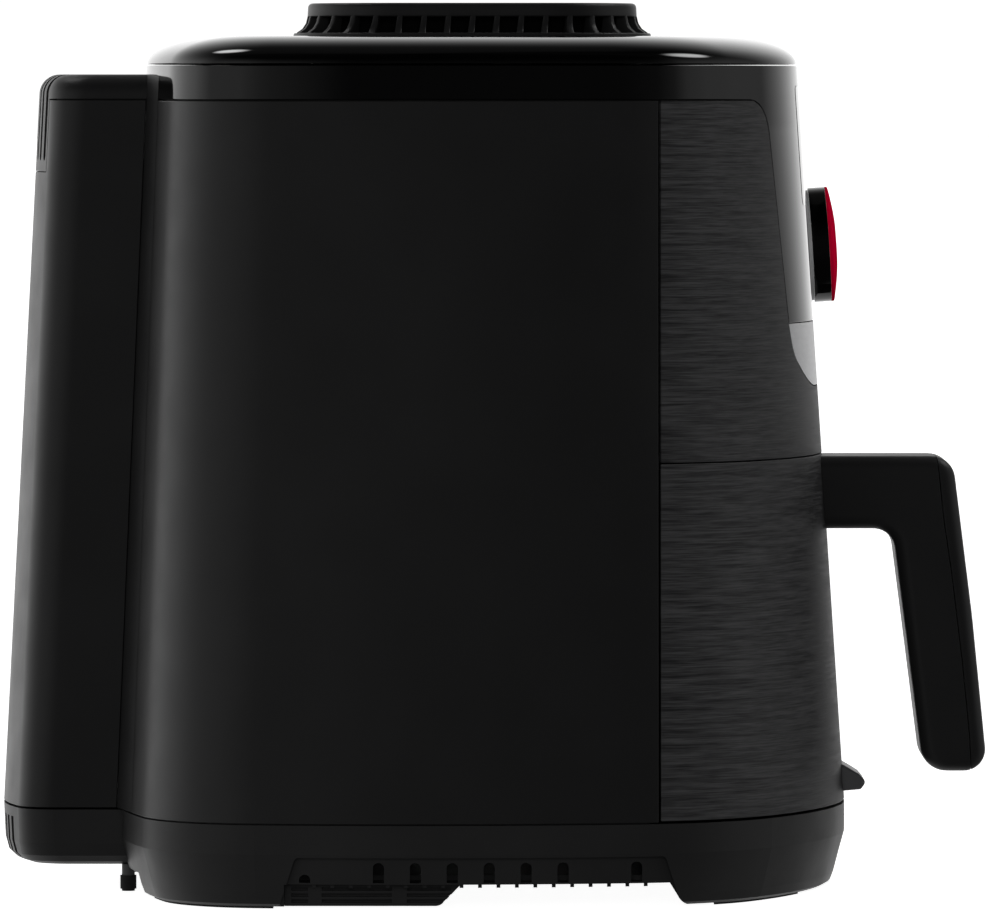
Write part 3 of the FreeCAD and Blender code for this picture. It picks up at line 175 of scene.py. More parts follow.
def rounded_path(corners, steps=8, closed=False):
    """Polyline through (x, y, radius) corners with the corners rounded."""
    points = []
    count = len(corners)
    for i, (x, y, radius) in enumerate(corners):
        point = Vector((x, y))
        if radius == 0 or (not closed and i in (0, count - 1)):
            points.append(point)
            continue
        before = (Vector(corners[i - 1][:2]) - point).normalized()
        after = (Vector(corners[(i + 1) % count][:2]) - point).normalized()
        half = before.angle(after) / 2
        start, end = point + before * (radius / math.tan(half)), point + after * (radius / math.tan(half))
        centre = point + (before + after).normalized() * (radius / math.sin(half))
        a, b = start - centre, end - centre
        for t in arc_steps(0.0, 1.0, steps):
            points.append(centre + a.slerp(b, t).normalized() * radius)
    return points


def resampled(points, count):
    """The same polyline with `count` equal steps."""
    lengths = [0.0]
    for a, b in zip(points, points[1:]):
        lengths.append(lengths[-1] + (b - a).length)
    result, k = [], 0
    for t in arc_steps(0.0, lengths[-1], count):
        while k < len(points) - 2 and lengths[k + 1] < t:
            k += 1
        span = lengths[k + 1] - lengths[k]
        result.append(points[k].lerp(points[k + 1], (t - lengths[k]) / span if span else 0.0))
    return result


def new_object(name, bm):
    """Turns a bmesh in millimetres into an object in metres."""
    bmesh.ops.recalc_face_normals(bm, faces=bm.faces)
    bmesh.ops.scale(bm, vec=(MM, MM, MM), verts=bm.verts)
    mesh = bpy.data.meshes.new(name)
    bm.to_mesh(mesh)
    bm.free()
    mesh.polygons.foreach_set("use_smooth", [True] * len(mesh.polygons))
    obj = bpy.data.objects.new(name, mesh)
    bpy.context.scene.collection.objects.link(obj)
    return obj


def grid(bm, rows, uvs=None, closed=False):
    """Adds a quad grid through rows of points; closed joins each row's end to its start."""
    uv_layer = bm.loops.layers.uv.verify()
    verts = [[bm.verts.new(p) for p in row] for row in rows]
    count = len(rows[0])
    for i in range(len(rows) - 1):
        for j in range(count if closed else count - 1):
            k = (j + 1) % count
            corners = [(i, j), (i, k), (i + 1, k), (i + 1, j)]
            face = bm.faces.new([verts[a][b] for a, b in corners])
            if uvs:
                for loop, (a, b) in zip(face.loops, corners):
                    loop[uv_layer].uv = uvs[a][b]
    return verts


def wrapped_patch(bm, left, right, cols, depth=0.0):
    """Grid on the housing between two boundary lists of (s, z)."""
    rows, uvs = [], []
    for (s0, z0), (s1, z1) in zip(left, right):
        line = [(s0 + (s1 - s0) * t, z0 + (z1 - z0) * t) for t in arc_steps(0.0, 1.0, cols)]
        rows.append([wrap(s, z, depth) for s, z in line])
        uvs.append([(s * MM, z * MM) for s, z in line])
    return grid(bm, rows, uvs)


def merge(bm):
    """Joins points that lie on each other."""
    bmesh.ops.remove_doubles(bm, verts=bm.verts, dist=0.01)


def delete_faces(bm, chosen):
    """Takes away the faces whose middle is chosen."""
    faces = [face for face in bm.faces if chosen(face.calc_center_median())]
    bmesh.ops.delete(bm, geom=faces, context="FACES")


def slab(obj, thickness, bevel):
    """Gives an outer skin its wall thickness, inwards, and rounds its edges."""
    solid = obj.modifiers.new("wall", "SOLIDIFY")
    solid.thickness = thickness * MM
    solid.offset = -1.0
    solid.use_even_offset = True
    return rounded(obj, bevel) if bevel else obj


def cut_out(obj, cutters):
    """Takes closed cutters away from obj and keeps the result as its mesh."""
    for cutter in cutters:
        boolean = obj.modifiers.new("cut", "BOOLEAN")
        boolean.operation = "DIFFERENCE"
        boolean.solver = "EXACT"
        boolean.object = cutter
    bpy.context.view_layer.update()
    result = obj.evaluated_get(bpy.context.evaluated_depsgraph_get())
    obj.data = bpy.data.meshes.new_from_object(result)
    obj.modifiers.clear()
    for cutter in cutters:
        bpy.data.objects.remove(cutter)


def rounded(obj, width):
    """Rounds the edges sharper than 35 degrees."""
    bevel = obj.modifiers.new("edges", "BEVEL")
    bevel.width = width * MM
    bevel.segments = 3
    bevel.limit_method = "ANGLE"
    bevel.angle_limit = math.radians(35.0)
    bevel.harden_normals = True
    return obj


def face_outwards(obj, centre=(0, 10, 160)):
    """Turns an open skin's faces away from a point inside the housing."""
    mesh = obj.data
    middle = Vector(centre) * MM
    facing = sum((p.center - middle).normalized().dot(p.normal) * p.area for p in mesh.polygons)
    if facing < 0:
        mesh.flip_normals()
    return obj


BODY_OF = {node: body for body, nodes in frame["record"]["behaviour"]["bodies"].items() for node in nodes}
SLOT_OF = {part["node"]: part["material_slot"] for part in frame["record"]["subparts"]}


def stand_for(obj, node, material):
    """Shows obj instead of the CAD node, on that node's body."""
    obj.data.materials.clear()
    obj.data.materials.append(material)
    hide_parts(node)
    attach(obj, BODY_OF[node])
    return obj


# ---- materials ----------------------------------------------------------------------------
RANGE_SOCKETS = ("From Min", "From Max", "To Min", "To Max")


class Shader:
    """A principled material with a few short-hands for its node tree."""

    def __init__(self, name, colour, roughness, **sockets):
        self.material = bpy.data.materials.new(name)
        self.material.use_nodes = True
        self.nodes = self.material.node_tree.nodes
        self.links = self.material.node_tree.links
        self.bsdf = self.nodes["Principled BSDF"]
        self.bsdf.inputs["Base Color"].default_value = (*colour, 1.0)
        self.bsdf.inputs["Roughness"].default_value = roughness
        for socket, value in sockets.items():
            self.bsdf.inputs[socket.replace("_", " ")].default_value = value

    def node(self, kind, **inputs):
        node = self.nodes.new(kind)
        for key, value in inputs.items():
            socket = node.inputs[key.replace("_", " ")]
            if isinstance(value, bpy.types.NodeSocket):
                self.links.new(value, socket)
            else:
                socket.default_value = value
        return node

    def coords(self, scale=(1.0, 1.0, 1.0), source="Object"):
        texture = self.nodes.new("ShaderNodeTexCoord")
        mapping = self.node("ShaderNodeMapping", Vector=texture.outputs[source])
        mapping.inputs["Scale"].default_value = scale
        return mapping.outputs["Vector"]

    def noise(self, vector, scale, detail=3.0, roughness=0.55, distortion=0.0):
        return self.node("ShaderNodeTexNoise", Vector=vector, Scale=scale, Detail=detail,
                         Roughness=roughness, Distortion=distortion).outputs["Fac"]

    def ramp(self, factor, low, high, to_low=0.0, to_high=1.0):
        node = self.node("ShaderNodeMapRange", Value=factor)
        for name, value in zip(RANGE_SOCKETS, (low, high, to_low, to_high)):
            node.inputs[name].default_value = value
        return node.outputs["Result"]

    def mixed_colour(self, factor, dark, light):
        node = self.nodes.new("ShaderNodeMix")
        node.data_type = "RGBA"
        self.links.new(factor, node.inputs["Factor"])
        node.inputs["A"].default_value = (*dark, 1.0)
        node.inputs["B"].default_value = (*light, 1.0)
        self.links.new(node.outputs["Result"], self.bsdf.inputs["Base Color"])

    def vary_roughness(self, factor, low, high):
        self.links.new(self.ramp(factor, 0.3, 0.7, low, high), self.bsdf.inputs["Roughness"])

    def bump(self, height, strength, distance):
        node = self.node("ShaderNodeBump", Height=height, Strength=strength, Distance=distance)
        self.links.new(node.outputs["Normal"], self.bsdf.inputs["Normal"])


def moulded(name, dark, light, rough_low, rough_high, grain=2600.0, depth=0.00004, strength=0.35,
            specular=0.36):
    """Spark-eroded matte plastic: fine grain, faint cloudy shade and sheen changes."""
    shader = Shader(name, dark, rough_low, Specular_IOR_Level=specular)
    coords = shader.coords()
    cloud = shader.noise(coords, 22.0, 4.0)
    shader.mixed_colour(shader.ramp(cloud, 0.3, 0.7), dark, light)
    shader.vary_roughness(shader.noise(coords, 60.0, 3.0), rough_low, rough_high)
    shader.bump(shader.noise(coords, grain, 2.0, 0.6), strength, depth)
    return shader.material


def gloss(name, dark, light, rough_low=0.05, rough_high=0.09, coat=0.0, specular=0.5):
    """Polished plastic with a very faint orange peel."""
    shader = Shader(name, dark, rough_low, Coat_Weight=coat, Coat_Roughness=0.03,
                    Specular_IOR_Level=specular)
    coords = shader.coords()
    shader.mixed_colour(shader.ramp(shader.noise(coords, 40.0, 3.0), 0.3, 0.7), dark, light)
    shader.vary_roughness(shader.noise(coords, 110.0, 3.0), rough_low, rough_high)
    shader.bump(shader.noise(coords, 160.0, 2.0), 0.05, 0.00003)
    return shader.material


def brushed(name, dark, light):
    """Dark brushed steel: short horizontal streaks of uneven length and strength."""
    shader = Shader(name, dark, 0.5, Metallic=0.15, Specular_IOR_Level=0.2)
    fine = shader.noise(shader.coords((70.0, 1900.0, 1.0), "UV"), 1.0, 3.0, 0.6)
    long = shader.noise(shader.coords((22.0, 620.0, 1.0), "UV"), 1.0, 4.0, 0.62, 0.15)
    patchy = shader.noise(shader.coords((26.0, 9.0, 1.0), "UV"), 1.0, 2.0)
    streak = shader.node("ShaderNodeMath", Value=fine)
    streak.operation = "ADD"
    shader.links.new(long, streak.inputs[1])
    shade = shader.ramp(streak.outputs[0], 0.78, 1.22)
    shader.mixed_colour(shade, dark, light)
    shader.links.new(shader.ramp(shade, 0.0, 1.0, 0.44, 0.58), shader.bsdf.inputs["Roughness"])
    depth = shader.node("ShaderNodeMath", Value=streak.outputs[0])
    depth.operation = "MULTIPLY"
    shader.links.new(shader.ramp(patchy, 0.35, 0.65, 0.35, 1.0), depth.inputs[1])
    shader.bump(depth.outputs[0], 0.32, 0.00012)
    return shader.material


def metal(name, dark, light, rough_low, rough_high, scale=300.0, metallic=1.0):
    """Mill-finished sheet, screws and castings."""
    shader = Shader(name, dark, rough_low, Metallic=metallic)
    coords = shader.coords((1.0, 1.0, 6.0))
    shader.mixed_colour(shader.ramp(shader.noise(coords, scale * 0.2, 4.0), 0.3, 0.7), dark, light)
    grain = shader.noise(coords, scale, 4.0)
    shader.vary_roughness(grain, rough_low, rough_high)
    shader.bump(grain, 0.15, 0.00005)
    return shader.material


MATERIALS = {
    "matte_black": moulded("matte_black", (0.0135, 0.0135, 0.0137), (0.0168, 0.0168, 0.0171), 0.40, 0.46),
    "base_black": moulded("base_black", (0.0225, 0.0225, 0.0227), (0.0275, 0.0275, 0.0278), 0.42, 0.48,
                          specular=0.2),
    "inner_black": moulded("inner_black", (0.012, 0.012, 0.012), (0.018, 0.018, 0.018), 0.55, 0.7, 1400.0),
    "handle_black": moulded("handle_black", (0.0145, 0.0145, 0.0148), (0.0175, 0.0175, 0.0178), 0.42, 0.48,
                            3200.0, 0.00005, 0.4),
    "gloss_black": gloss("gloss_black", (0.0010, 0.0010, 0.0011), (0.0015, 0.0015, 0.0016)),
    # Near-black, dull colour of the sheet inside the crown: painted shade.
    "painted_shade_black": moulded("painted_shade_black", (0.002, 0.002, 0.002), (0.004, 0.004, 0.004), 0.8, 0.9, 1800.0,
                            0.0001, specular=0.05),
    "lens": gloss("lens", (0.0022, 0.0022, 0.0026), (0.0030, 0.0030, 0.0034), 0.03, 0.05, 0.5),
    "red_gloss": gloss("red_gloss", (0.86, 0.002, 0.040), (0.92, 0.002, 0.052), 0.3, 0.4, 0.0, 0.0),
    "seat_grey": metal("seat_grey", (0.70, 0.70, 0.71), (0.76, 0.76, 0.77), 0.4, 0.5, 600.0, 0.2),
    "brushed_dark": brushed("brushed_dark", (0.022, 0.022, 0.023), (0.090, 0.090, 0.092)),
    "chin_grey": metal("chin_grey", (0.62, 0.62, 0.63), (0.68, 0.68, 0.69), 0.32, 0.4, 600.0, 0.5),
    "rubber": moulded("rubber", (0.010, 0.010, 0.010), (0.018, 0.018, 0.018), 0.75, 0.9, 1500.0, 0.0001),
    "foot_post": moulded("foot_post", (0.06, 0.06, 0.062), (0.075, 0.075, 0.077), 0.45, 0.6),
    "lip_grey": moulded("lip_grey", (0.09, 0.09, 0.093), (0.11, 0.11, 0.113), 0.34, 0.42),
    "steel_sheet": metal("steel_sheet", (0.42, 0.42, 0.43), (0.55, 0.55, 0.55), 0.28, 0.42),
    "screw_steel": metal("screw_steel", (0.38, 0.38, 0.37), (0.5, 0.5, 0.49), 0.22, 0.36),
    "nonstick": moulded("nonstick", (0.014, 0.014, 0.015), (0.022, 0.022, 0.023), 0.28, 0.4, 1200.0,
                        0.00006),
    "heater": metal("heater", (0.13, 0.11, 0.09), (0.2, 0.17, 0.14), 0.4, 0.6),
    "aluminium": metal("aluminium", (0.6, 0.6, 0.61), (0.7, 0.7, 0.71), 0.25, 0.4),
    "board_green": moulded("board_green", (0.01, 0.05, 0.022), (0.014, 0.065, 0.03), 0.3, 0.45),
    "copper": metal("copper", (0.45, 0.16, 0.05), (0.58, 0.22, 0.08), 0.25, 0.4, 900.0),
    "core_steel": metal("core_steel", (0.09, 0.09, 0.095), (0.14, 0.14, 0.145), 0.4, 0.55, 1200.0, 0.9),
    "silicone": moulded("silicone", (0.03, 0.03, 0.032), (0.045, 0.045, 0.047), 0.6, 0.75),
}


def dress_cad_nodes():
    """Gives every CAD node its own material."""
    for name, obj in frame["nodes"].items():
        obj.data.materials.clear()
        obj.data.materials.append(MATERIALS[SLOT_OF[name]])


# ---- housing panels -----------------------------------------------------------------------
def seam_edge(z0, z1, rows, offset):
    """Edge of a panel beside the joint of shell and front, as (s, z) on the +X side."""
    return [(s_of_y(PANEL_SEAM_Y + offset, z), z) for z in arc_steps(z0, z1, rows)]


def build_shell():
    """Side and rear shell, open where the duct's air passes."""
    bm = bmesh.new()
    near = seam_edge(SEAM_BASE + GAP / 2, SEAM_TOP - GAP / 2, 24, PANEL_GAP)
    far = [(2 * HALF_LENGTH - s, z) for s, z in near]
    wrapped_patch(bm, near, far, 220)
    half, low, high = AIR_WINDOW
    delete_faces(bm, lambda p: p.y > HOUSING_BACK_Y and abs(p.x) < half and low < p.z < high)
    shell = face_outwards(new_object("shell_panel", bm))
    stand_for(slab(shell, 2.4, 0.35), "outer_shell", MATERIALS["matte_black"])


def tongue_side(grow=0.0):
    """Side edge of the gloss tongue as (x, z), from its lower end up to the band."""
    top = SEAM_TOP + GAP / 2 - grow
    return rounded_path([(PANEL_HALF_WIDTH + grow, CHIN_TOP + 0.15 - grow, 0),
                         (TONGUE_TOP_HALF_WIDTH + grow, top, TONGUE_FLARE), (110.0, top, 0)], 6)[:-1]


def chin_side(grow=0.0):
    """Outer edge of the chin trim as (x, z), from the bottom's middle up to the tongue."""
    half, low = PANEL_HALF_WIDTH + grow, CHIN_BOTTOM - grow
    return rounded_path([(0, low, 0), (half - 22.7, low, 50), (half - 2.9, low + 11.7, 14),
                         (half, CHIN_TOP, 0)], 10)


def to_surface(points):
    """The (s, z) on the housing of front points given as (x, z)."""
    return [(s_of_x(x, z), z) for x, z in points]


def build_fascia():
    """Upper front: brushed skin round the tongue and the chin trim."""
    grow = 0.42
    low, high = SEAM_DRAWER + GAP / 2, SEAM_TOP - GAP / 2
    side = tongue_side(grow)[1:]
    edge = chin_side(grow)[1:] + [p for p in side if p.y < high - 0.02]
    edge = resampled(edge + [Vector((edge[-1].x + 0.9, high))], 130)
    bm = bmesh.new()
    inner = to_surface(edge)
    wrapped_patch(bm, inner, [(s_of_y(PANEL_SEAM_Y - PANEL_GAP, z), z) for _, z in inner], 60)
    flat_end, chin_z = inner[0]
    levels = arc_steps(low, chin_z, 8)
    wrapped_patch(bm, [(flat_end, z) for z in levels],
                  [(s_of_y(PANEL_SEAM_Y - PANEL_GAP, z), z) for z in levels], 60)
    wrapped_patch(bm, [(0.0, z) for z in levels], [(flat_end, z) for z in levels], 12)
    mirror_and_join(bm)
    panel = face_outwards(new_object("fascia_panel", bm), (0, 10, 220))
    stand_for(slab(panel, 1.6, 0.3), "front_fascia", MATERIALS["brushed_dark"])


def mirror_and_join(bm):
    """Adds the mirror image about X = 0, with mirrored UVs, and joins the two."""
    copy = bmesh.ops.duplicate(bm, geom=bm.verts[:] + bm.edges[:] + bm.faces[:])["geom"]
    uv_layer = bm.loops.layers.uv.verify()
    for item in copy:
        if isinstance(item, bmesh.types.BMVert):
            item.co.x *= -1
        elif isinstance(item, bmesh.types.BMFace):
            item.normal_flip()
            for loop in item.loops:
                loop[uv_layer].uv.x *= -1
    merge(bm)


def build_bezel():
    """Gloss band round the top in one piece with the tongue down the front."""
    bm = bmesh.new()
    cols = 48
    side = to_surface(tongue_side())
    wrapped_patch(bm, [(-s, z) for s, z in side], side, cols)
    edge = side[-1][0]
    around = arc_steps(-edge, edge, cols) + arc_steps(edge, 2 * HALF_LENGTH - edge, 200)[1:-1]
    levels = [SEAM_TOP + GAP / 2, 297.0, 303.0, SEAM_LID - GAP / 2]
    rows = [[wrap(s, z) for s in around] for z in levels]
    uvs = [[(s * MM, z * MM) for s in around] for z in levels]
    grid(bm, rows, uvs, closed=True)
    merge(bm)
    stand_for(slab(face_outwards(new_object("bezel_panel", bm)), 2.4, 0.35), "top_bezel",
              MATERIALS["gloss_black"])
    skirt = [wrap(s, z, depth) for z, depth in LIP for s in around]
    inner_lip("bezel_lip", skirt, len(around), "top_bezel")
    neck, flange, sleeve = 9.0, DIAL_RADIUS - 0.2, DIAL_RADIUS - 0.85
    seat = [(neck - 1.2, -3.0), (neck, -3.0), (neck, -0.4), (flange, -0.4), (flange, 0.1), (sleeve, 0.1),
            (sleeve, 3.2), (sleeve - 1.2, 3.2), (sleeve - 1.2, 0.1), (neck - 1.2, 0.1)]
    turned("dial_seat", "top_bezel", MATERIALS["seat_grey"], seat, 0.1)


def inner_lip(name, points, count, node):
    """Thin skirt behind the top seam that keeps light from showing through it."""
    bm = bmesh.new()
    grid(bm, [points[i:i + count] for i in range(0, len(points), count)], closed=True)
    lip = face_outwards(new_object(name, bm))
    stand_for(slab(lip, 0.8, 0.15), node, MATERIALS["inner_black"])


def build_chin():
    """Chin trim under the gloss tongue."""
    bm = bmesh.new()
    outer = [p for p in chin_side() if p.x > 22][:-1]
    side = to_surface(outer + [Vector((PANEL_HALF_WIDTH, CHIN_TOP - 0.15))])
    wrapped_patch(bm, [(-s, z) for s, z in side], side, 48)
    stand_for(slab(face_outwards(new_object("chin_panel", bm)), 2.0, 0.25), "chin_trim",
              MATERIALS["chin_grey"])


def build_lens():
    """Display lens, just proud of the gloss tongue."""
    bm = bmesh.new()
    half, low, high = LENS_HALF_WIDTH, LENS_BOTTOM, LENS_TOP
    side = rounded_path([(half - 8, low, 0), (half, low, 3), (half, high, 3), (half - 8, high, 0)], 6)
    side = side[1:-1]
    side = to_surface(side[:7] + resampled(side[6:8], 10)[1:-1] + side[7:])
    wrapped_patch(bm, [(-s, z) for s, z in side], side, 24, -LENS_PROUD)
    stand_for(slab(face_outwards(new_object("lens_panel", bm)), 1.0, 0.12), "display_lens",
              MATERIALS["lens"])


def crown_path(half, count=None):
    """Rounded square of the crown as (x, y), with `count` points from the front middle round."""
    radius = CROWN_CORNER + half - CROWN_HALF
    corners = [(0, CROWN_Y - half, 0), (half, CROWN_Y - half, radius), (half, CROWN_Y + half, radius),
               (-half, CROWN_Y + half, radius), (-half, CROWN_Y - half, radius), (0, CROWN_Y - half, 0)]
    points = rounded_path(corners, 16)
    return resampled(points, count)[:-1] if count else points


def build_lid():
    """Gloss lid: rolled edge, gently crowned top and a turned-down rim under the intake crown."""
    count = 288
    around = [2 * HALF_LENGTH * i / count for i in range(count)]
    rise = LID_TOP - SEAM_LID - GAP / 2
    underside, inset, rim_inset, rim_drop = 2.8, 0.3, 3.0, 4.0
    rows = [[wrap(s, SEAM_LID + GAP / 2, underside, SEAM_LID) for s in around]]
    for turn in arc_steps(0.0, math.pi / 2, 18):
        depth = inset + LID_EDGE_WIDTH * (1 - math.cos(turn))
        z = SEAM_LID + GAP / 2 + rise * math.sin(turn)
        rows.append([wrap(s, z, depth, SEAM_LID) for s in around])
    rim = crown_path(CROWN_HALF - rim_inset, count)
    start = rows[-1]
    for t in arc_steps(0.0, 1.0, 8)[1:]:
        rows.append([p.lerp(Vector((q.x, q.y, LID_TOP)), t) for p, q in zip(start, rim)])
    rows.append([Vector((p.x, p.y, LID_TOP - rim_drop)) for p in rows[-1]])
    bm = bmesh.new()
    grid(bm, rows, closed=True)
    lid = face_outwards(new_object("lid_panel", bm), (0, 10, 200))
    stand_for(rounded(lid, 0.4), "lid_cover", MATERIALS["gloss_black"])


def swept_ring(bm, profile):
    """Sweeps a closed (half size, z) profile round the crown's outline."""
    count = 240
    rows = []
    for half, z in profile + profile[:1]:
        rows.append([Vector((p.x, p.y, z)) for p in crown_path(half, count)])
    grid(bm, rows, closed=True)
    merge(bm)


def build_crown():
    """Intake crown: foot flange, curved ribs, the ring on top, and inside a dark sheet that paints the
    shade behind the ribs.
    """
    bm = bmesh.new()
    foot = rounded_path([(CROWN_FOOT_HALF, LID_TOP, 0.2), (CROWN_FOOT_HALF - 0.2, LID_TOP + 1.3, 0.5),
                         (CROWN_FOOT_INSIDE, LID_TOP + 1.6, 0.5),
                         (CROWN_FOOT_INSIDE, LID_TOP - 0.5, 0.3)], 3, True)
    ring = rounded_path([(CROWN_HALF + 0.3, CROWN_RIB_TOP, 0.6), (CROWN_HALF, CROWN_TOP, 1.7),
                         (CROWN_RING_INSIDE, CROWN_TOP, 1.0),
                         (CROWN_RING_INSIDE, CROWN_RIB_TOP, 0.6)], 5, True)
    for profile in (foot, ring):
        swept_ring(bm, [(p.x, p.y) for p in profile])
    path = crown_path(CROWN_HALF, CROWN_OPENINGS * 8)
    for i in range(CROWN_OPENINGS):
        here, after = path[i * 8], path[i * 8 + 1]
        add_rib(bm, here, (after - here).normalized())
    stand_for(new_object("crown_ring", bm), "intake_crown", MATERIALS["matte_black"])
    # Painted shade: a near-black, dull sheet inside the ribs stands in for the shadow within the crown.
    bm = bmesh.new()
    inside, low, high = CROWN_HALF - 9.0, LID_TOP - 1.0, CROWN_RIB_TOP + 0.5
    swept_ring(bm, [(inside, low), (inside, high), (inside - 0.8, high), (inside - 0.8, low)])
    stand_for(new_object("crown_painted_shade", bm), "intake_crown", MATERIALS["painted_shade_black"])


def add_rib(bm, here, tangent):
    """One rib: it leans, and flares outwards at its foot."""
    outward = Vector((tangent.y, -tangent.x))
    inner, lean, foot_half, taper = -3.4, 0.11, 1.35, 0.04
    rows = []
    levels = [(0.6, 5.0), (1.6, 4.2), (3.0, 2.2), (5.0, 0.9), (7.9, 0.2)]
    for rise, flare in levels:
        shift = (rise - 4.0) * lean
        half = foot_half - taper * rise
        corners = rounded_path([(-half, inner, 0.3), (half, inner, 0.3), (half, flare, 0.55),
                                (-half, flare, 0.55)], 3, True)
        row = []
        for along, out in corners:
            flat = here + tangent * (along + shift) + outward * out
            row.append(Vector((flat.x, flat.y, LID_TOP + rise)))
        rows.append(row)
    grid(bm, rows, closed=True)


# ---- rear duct ----------------------------------------------------------------------------
def seam_y(z):
    """y where the duct meets the rear of the housing at a height."""
    return 128.8 + (294.0 - z) * 11.2 / 264.0


def duct_profile(z, shrink=0.0, start=None, notch=GRILLE_HALF_WIDTH + 0.25):
    """Plan section of the duct as points from its left flank round the back to its right flank."""
    share = (z - SEAM_BASE) / (SEAM_TOP - SEAM_BASE)
    half = DUCT_HALF_WIDTH[0] + (DUCT_HALF_WIDTH[1] - DUCT_HALF_WIDTH[0]) * share - shrink
    rear = DUCT_REAR[0] + (DUCT_REAR[1] - DUCT_REAR[0]) * share - shrink
    corner_x = half - DUCT_CORNER_RADIUS
    centre_y = rear - DUCT_REAR_RADIUS
    corner_y = centre_y + math.sqrt((DUCT_REAR_RADIUS - DUCT_CORNER_RADIUS) ** 2 - corner_x ** 2)
    turn = math.atan2(corner_x, corner_y - centre_y)
    front = (seam_y(z) + 0.3) if start is None else start
    right = []
    edge_turn = min(math.asin(notch / DUCT_REAR_RADIUS), turn * 0.97)
    for angle in arc_steps(0.0, edge_turn, 10) + arc_steps(edge_turn, turn, 6)[1:]:
        right.append((math.sin(angle) * DUCT_REAR_RADIUS, centre_y + math.cos(angle) * DUCT_REAR_RADIUS))
    for angle in arc_steps(turn, math.pi / 2, 14)[1:]:
        right.append((corner_x + math.sin(angle) * DUCT_CORNER_RADIUS,
                      corner_y + math.cos(angle) * DUCT_CORNER_RADIUS))
    for y in arc_steps(corner_y, front, 6)[1:]:
        right.append((half, y))
    left = [(-x, y) for x, y in reversed(right[1:])]
    return [Vector((x, y, z)) for x, y in left + right]


def behind_grille(point):
    """Whether a point is on the duct's back, across the grille's width."""
    return abs(point.x) < GRILLE_HALF_WIDTH and point.y > DUCT_BACK_Y


def build_duct_cover():
    """Removable rear cover, notched at the top for the cap's grille."""
    bm = bmesh.new()
    notch_z = GRILLE_BOTTOM - 0.25
    levels = arc_steps(SEAM_BASE + GAP, notch_z, 20) + arc_steps(notch_z, SEAM_TOP, 4)[1:]
    grid(bm, [duct_profile(z) for z in levels])
    delete_faces(bm, lambda p: behind_grille(p) and p.z > GRILLE_BOTTOM)
    cover = face_outwards(new_object("duct_panel", bm), (0, 140, 160))
    stand_for(slab(cover, 2.2, 0.35), "rear_duct_cover", MATERIALS["matte_black"])


def build_duct_cap():
    """Cap of the duct: rolled rear edge, flat top, and a grille that runs down the back."""
    bm = bmesh.new()
    front, inner_x = 118.0, GRILLE_HALF_WIDTH
    levels = arc_steps(GRILLE_BOTTOM, SEAM_TOP + GAP, 8) + [DUCT_CAP_TOP - DUCT_ROLL]
    rows = [duct_profile(z, start=front, notch=inner_x) for z in levels]
    for turn in arc_steps(0.0, math.pi / 2, 12)[1:]:
        z = DUCT_CAP_TOP - DUCT_ROLL * (1 - math.sin(turn))
        flat = duct_profile(DUCT_CAP_TOP - DUCT_ROLL, DUCT_ROLL * (1 - math.cos(turn)), front, inner_x)
        rows.append([Vector((p.x, p.y, z)) for p in flat])
    verts = grid(bm, rows)
    rim = verts[-1]
    left, right = rim[:len(rim) // 2 + 1], rim[len(rim) // 2:][::-1]
    for i in range(len(left) - 2):
        bm.faces.new([left[i], left[i + 1], right[i + 1], right[i]])
    bm.faces.new([left[-2], left[-1], right[-2]])
    merge(bm)
    delete_faces(bm, lambda p: p.z < SEAM_TOP + GAP and not behind_grille(p))
    cap = face_outwards(new_object("cap_panel", bm), (0, 140, 280))
    solid = slab(cap, 2.2, 0.0)
    cut_out(solid, [slot_cutter(x) for x in GRILLE_PLACES])
    rounded(solid, 0.3)
    stand_for(solid, "rear_duct_cap", MATERIALS["matte_black"])
    bm = bmesh.new()
    grid(bm, [duct_profile(z, depth, front) for z, depth in LIP])
    delete_faces(bm, behind_grille)
    skirt = face_outwards(new_object("cap_lip", bm), (0, 140, 280))
    stand_for(slab(skirt, 0.8, 0.15), "rear_duct_cap", MATERIALS["inner_black"])


def slot_cutter(x):
    """Prism that opens one slot of the grille, from low on the duct's back up over its edge."""
    half, low, high, near, far = 1.9, 271.0, 320.0, 154.0, 200.0
    path = rounded_path([(x - half, low, 1.8), (x + half, low, 1.8), (x + half, high, 0),
                         (x - half, high, 0)], 6, True)
    bm = bmesh.new()
    verts = grid(bm, [[Vector((p.x, y, p.y)) for p in path] for y in (near, far)], closed=True)
    bm.faces.new(verts[0])
    bm.faces.new(verts[1])
    return new_object("slot_cutter", bm)


# ---- drawer and handle --------------------------------------------------------------------
def build_drawer_front():
    """Brushed skin of the drawer."""
    low, high = SEAM_BASE + GAP + 0.25, SEAM_DRAWER - GAP / 2
    right = seam_edge(low, high, 16, -PANEL_GAP)
    bm = bmesh.new()
    wrapped_patch(bm, [(-s, z) for s, z in right], right, 120)
    panel = face_outwards(new_object("drawer_panel", bm), (0, 10, 100))
    stand_for(slab(panel, 1.3, 0.3), "drawer_front", MATERIALS["brushed_dark"])


def handle_outline(inset):
    """Side outline of the whole handle as (y, z), from the arm's top out, down and back."""
    top, low, arm = HANDLE_TOP - inset, HANDLE_BOTTOM + inset, HANDLE_ARM_BOTTOM + inset
    corners = [(-120.0, top, 0), (-171.1 + inset * 0.95, top, 9 - inset),
               (-178.6 + inset, 100.5, 300), (-184.4 + inset * 1.05, low, 8 - inset),
               (-160.2 - inset * 0.9, low, 10 - inset), (-153.4 - inset, 96.0, 300),
               (-148.6 - inset, arm, 8 + inset), (-120.0, arm, 0)]
    return rounded_path(corners, 14)


def seam_at(z, shift=0.0):
    """y of the joint between the handle's core and its cover at a height."""
    line = [Vector(p) for p in COVER_SEAM]
    for a, b in zip(line, line[1:]):
        if a.y >= z >= b.y:
            t = (a.y - z) / (a.y - b.y)
            return a.x + (b.x - a.x) * t - shift
    raise ValueError("height is off the handle")


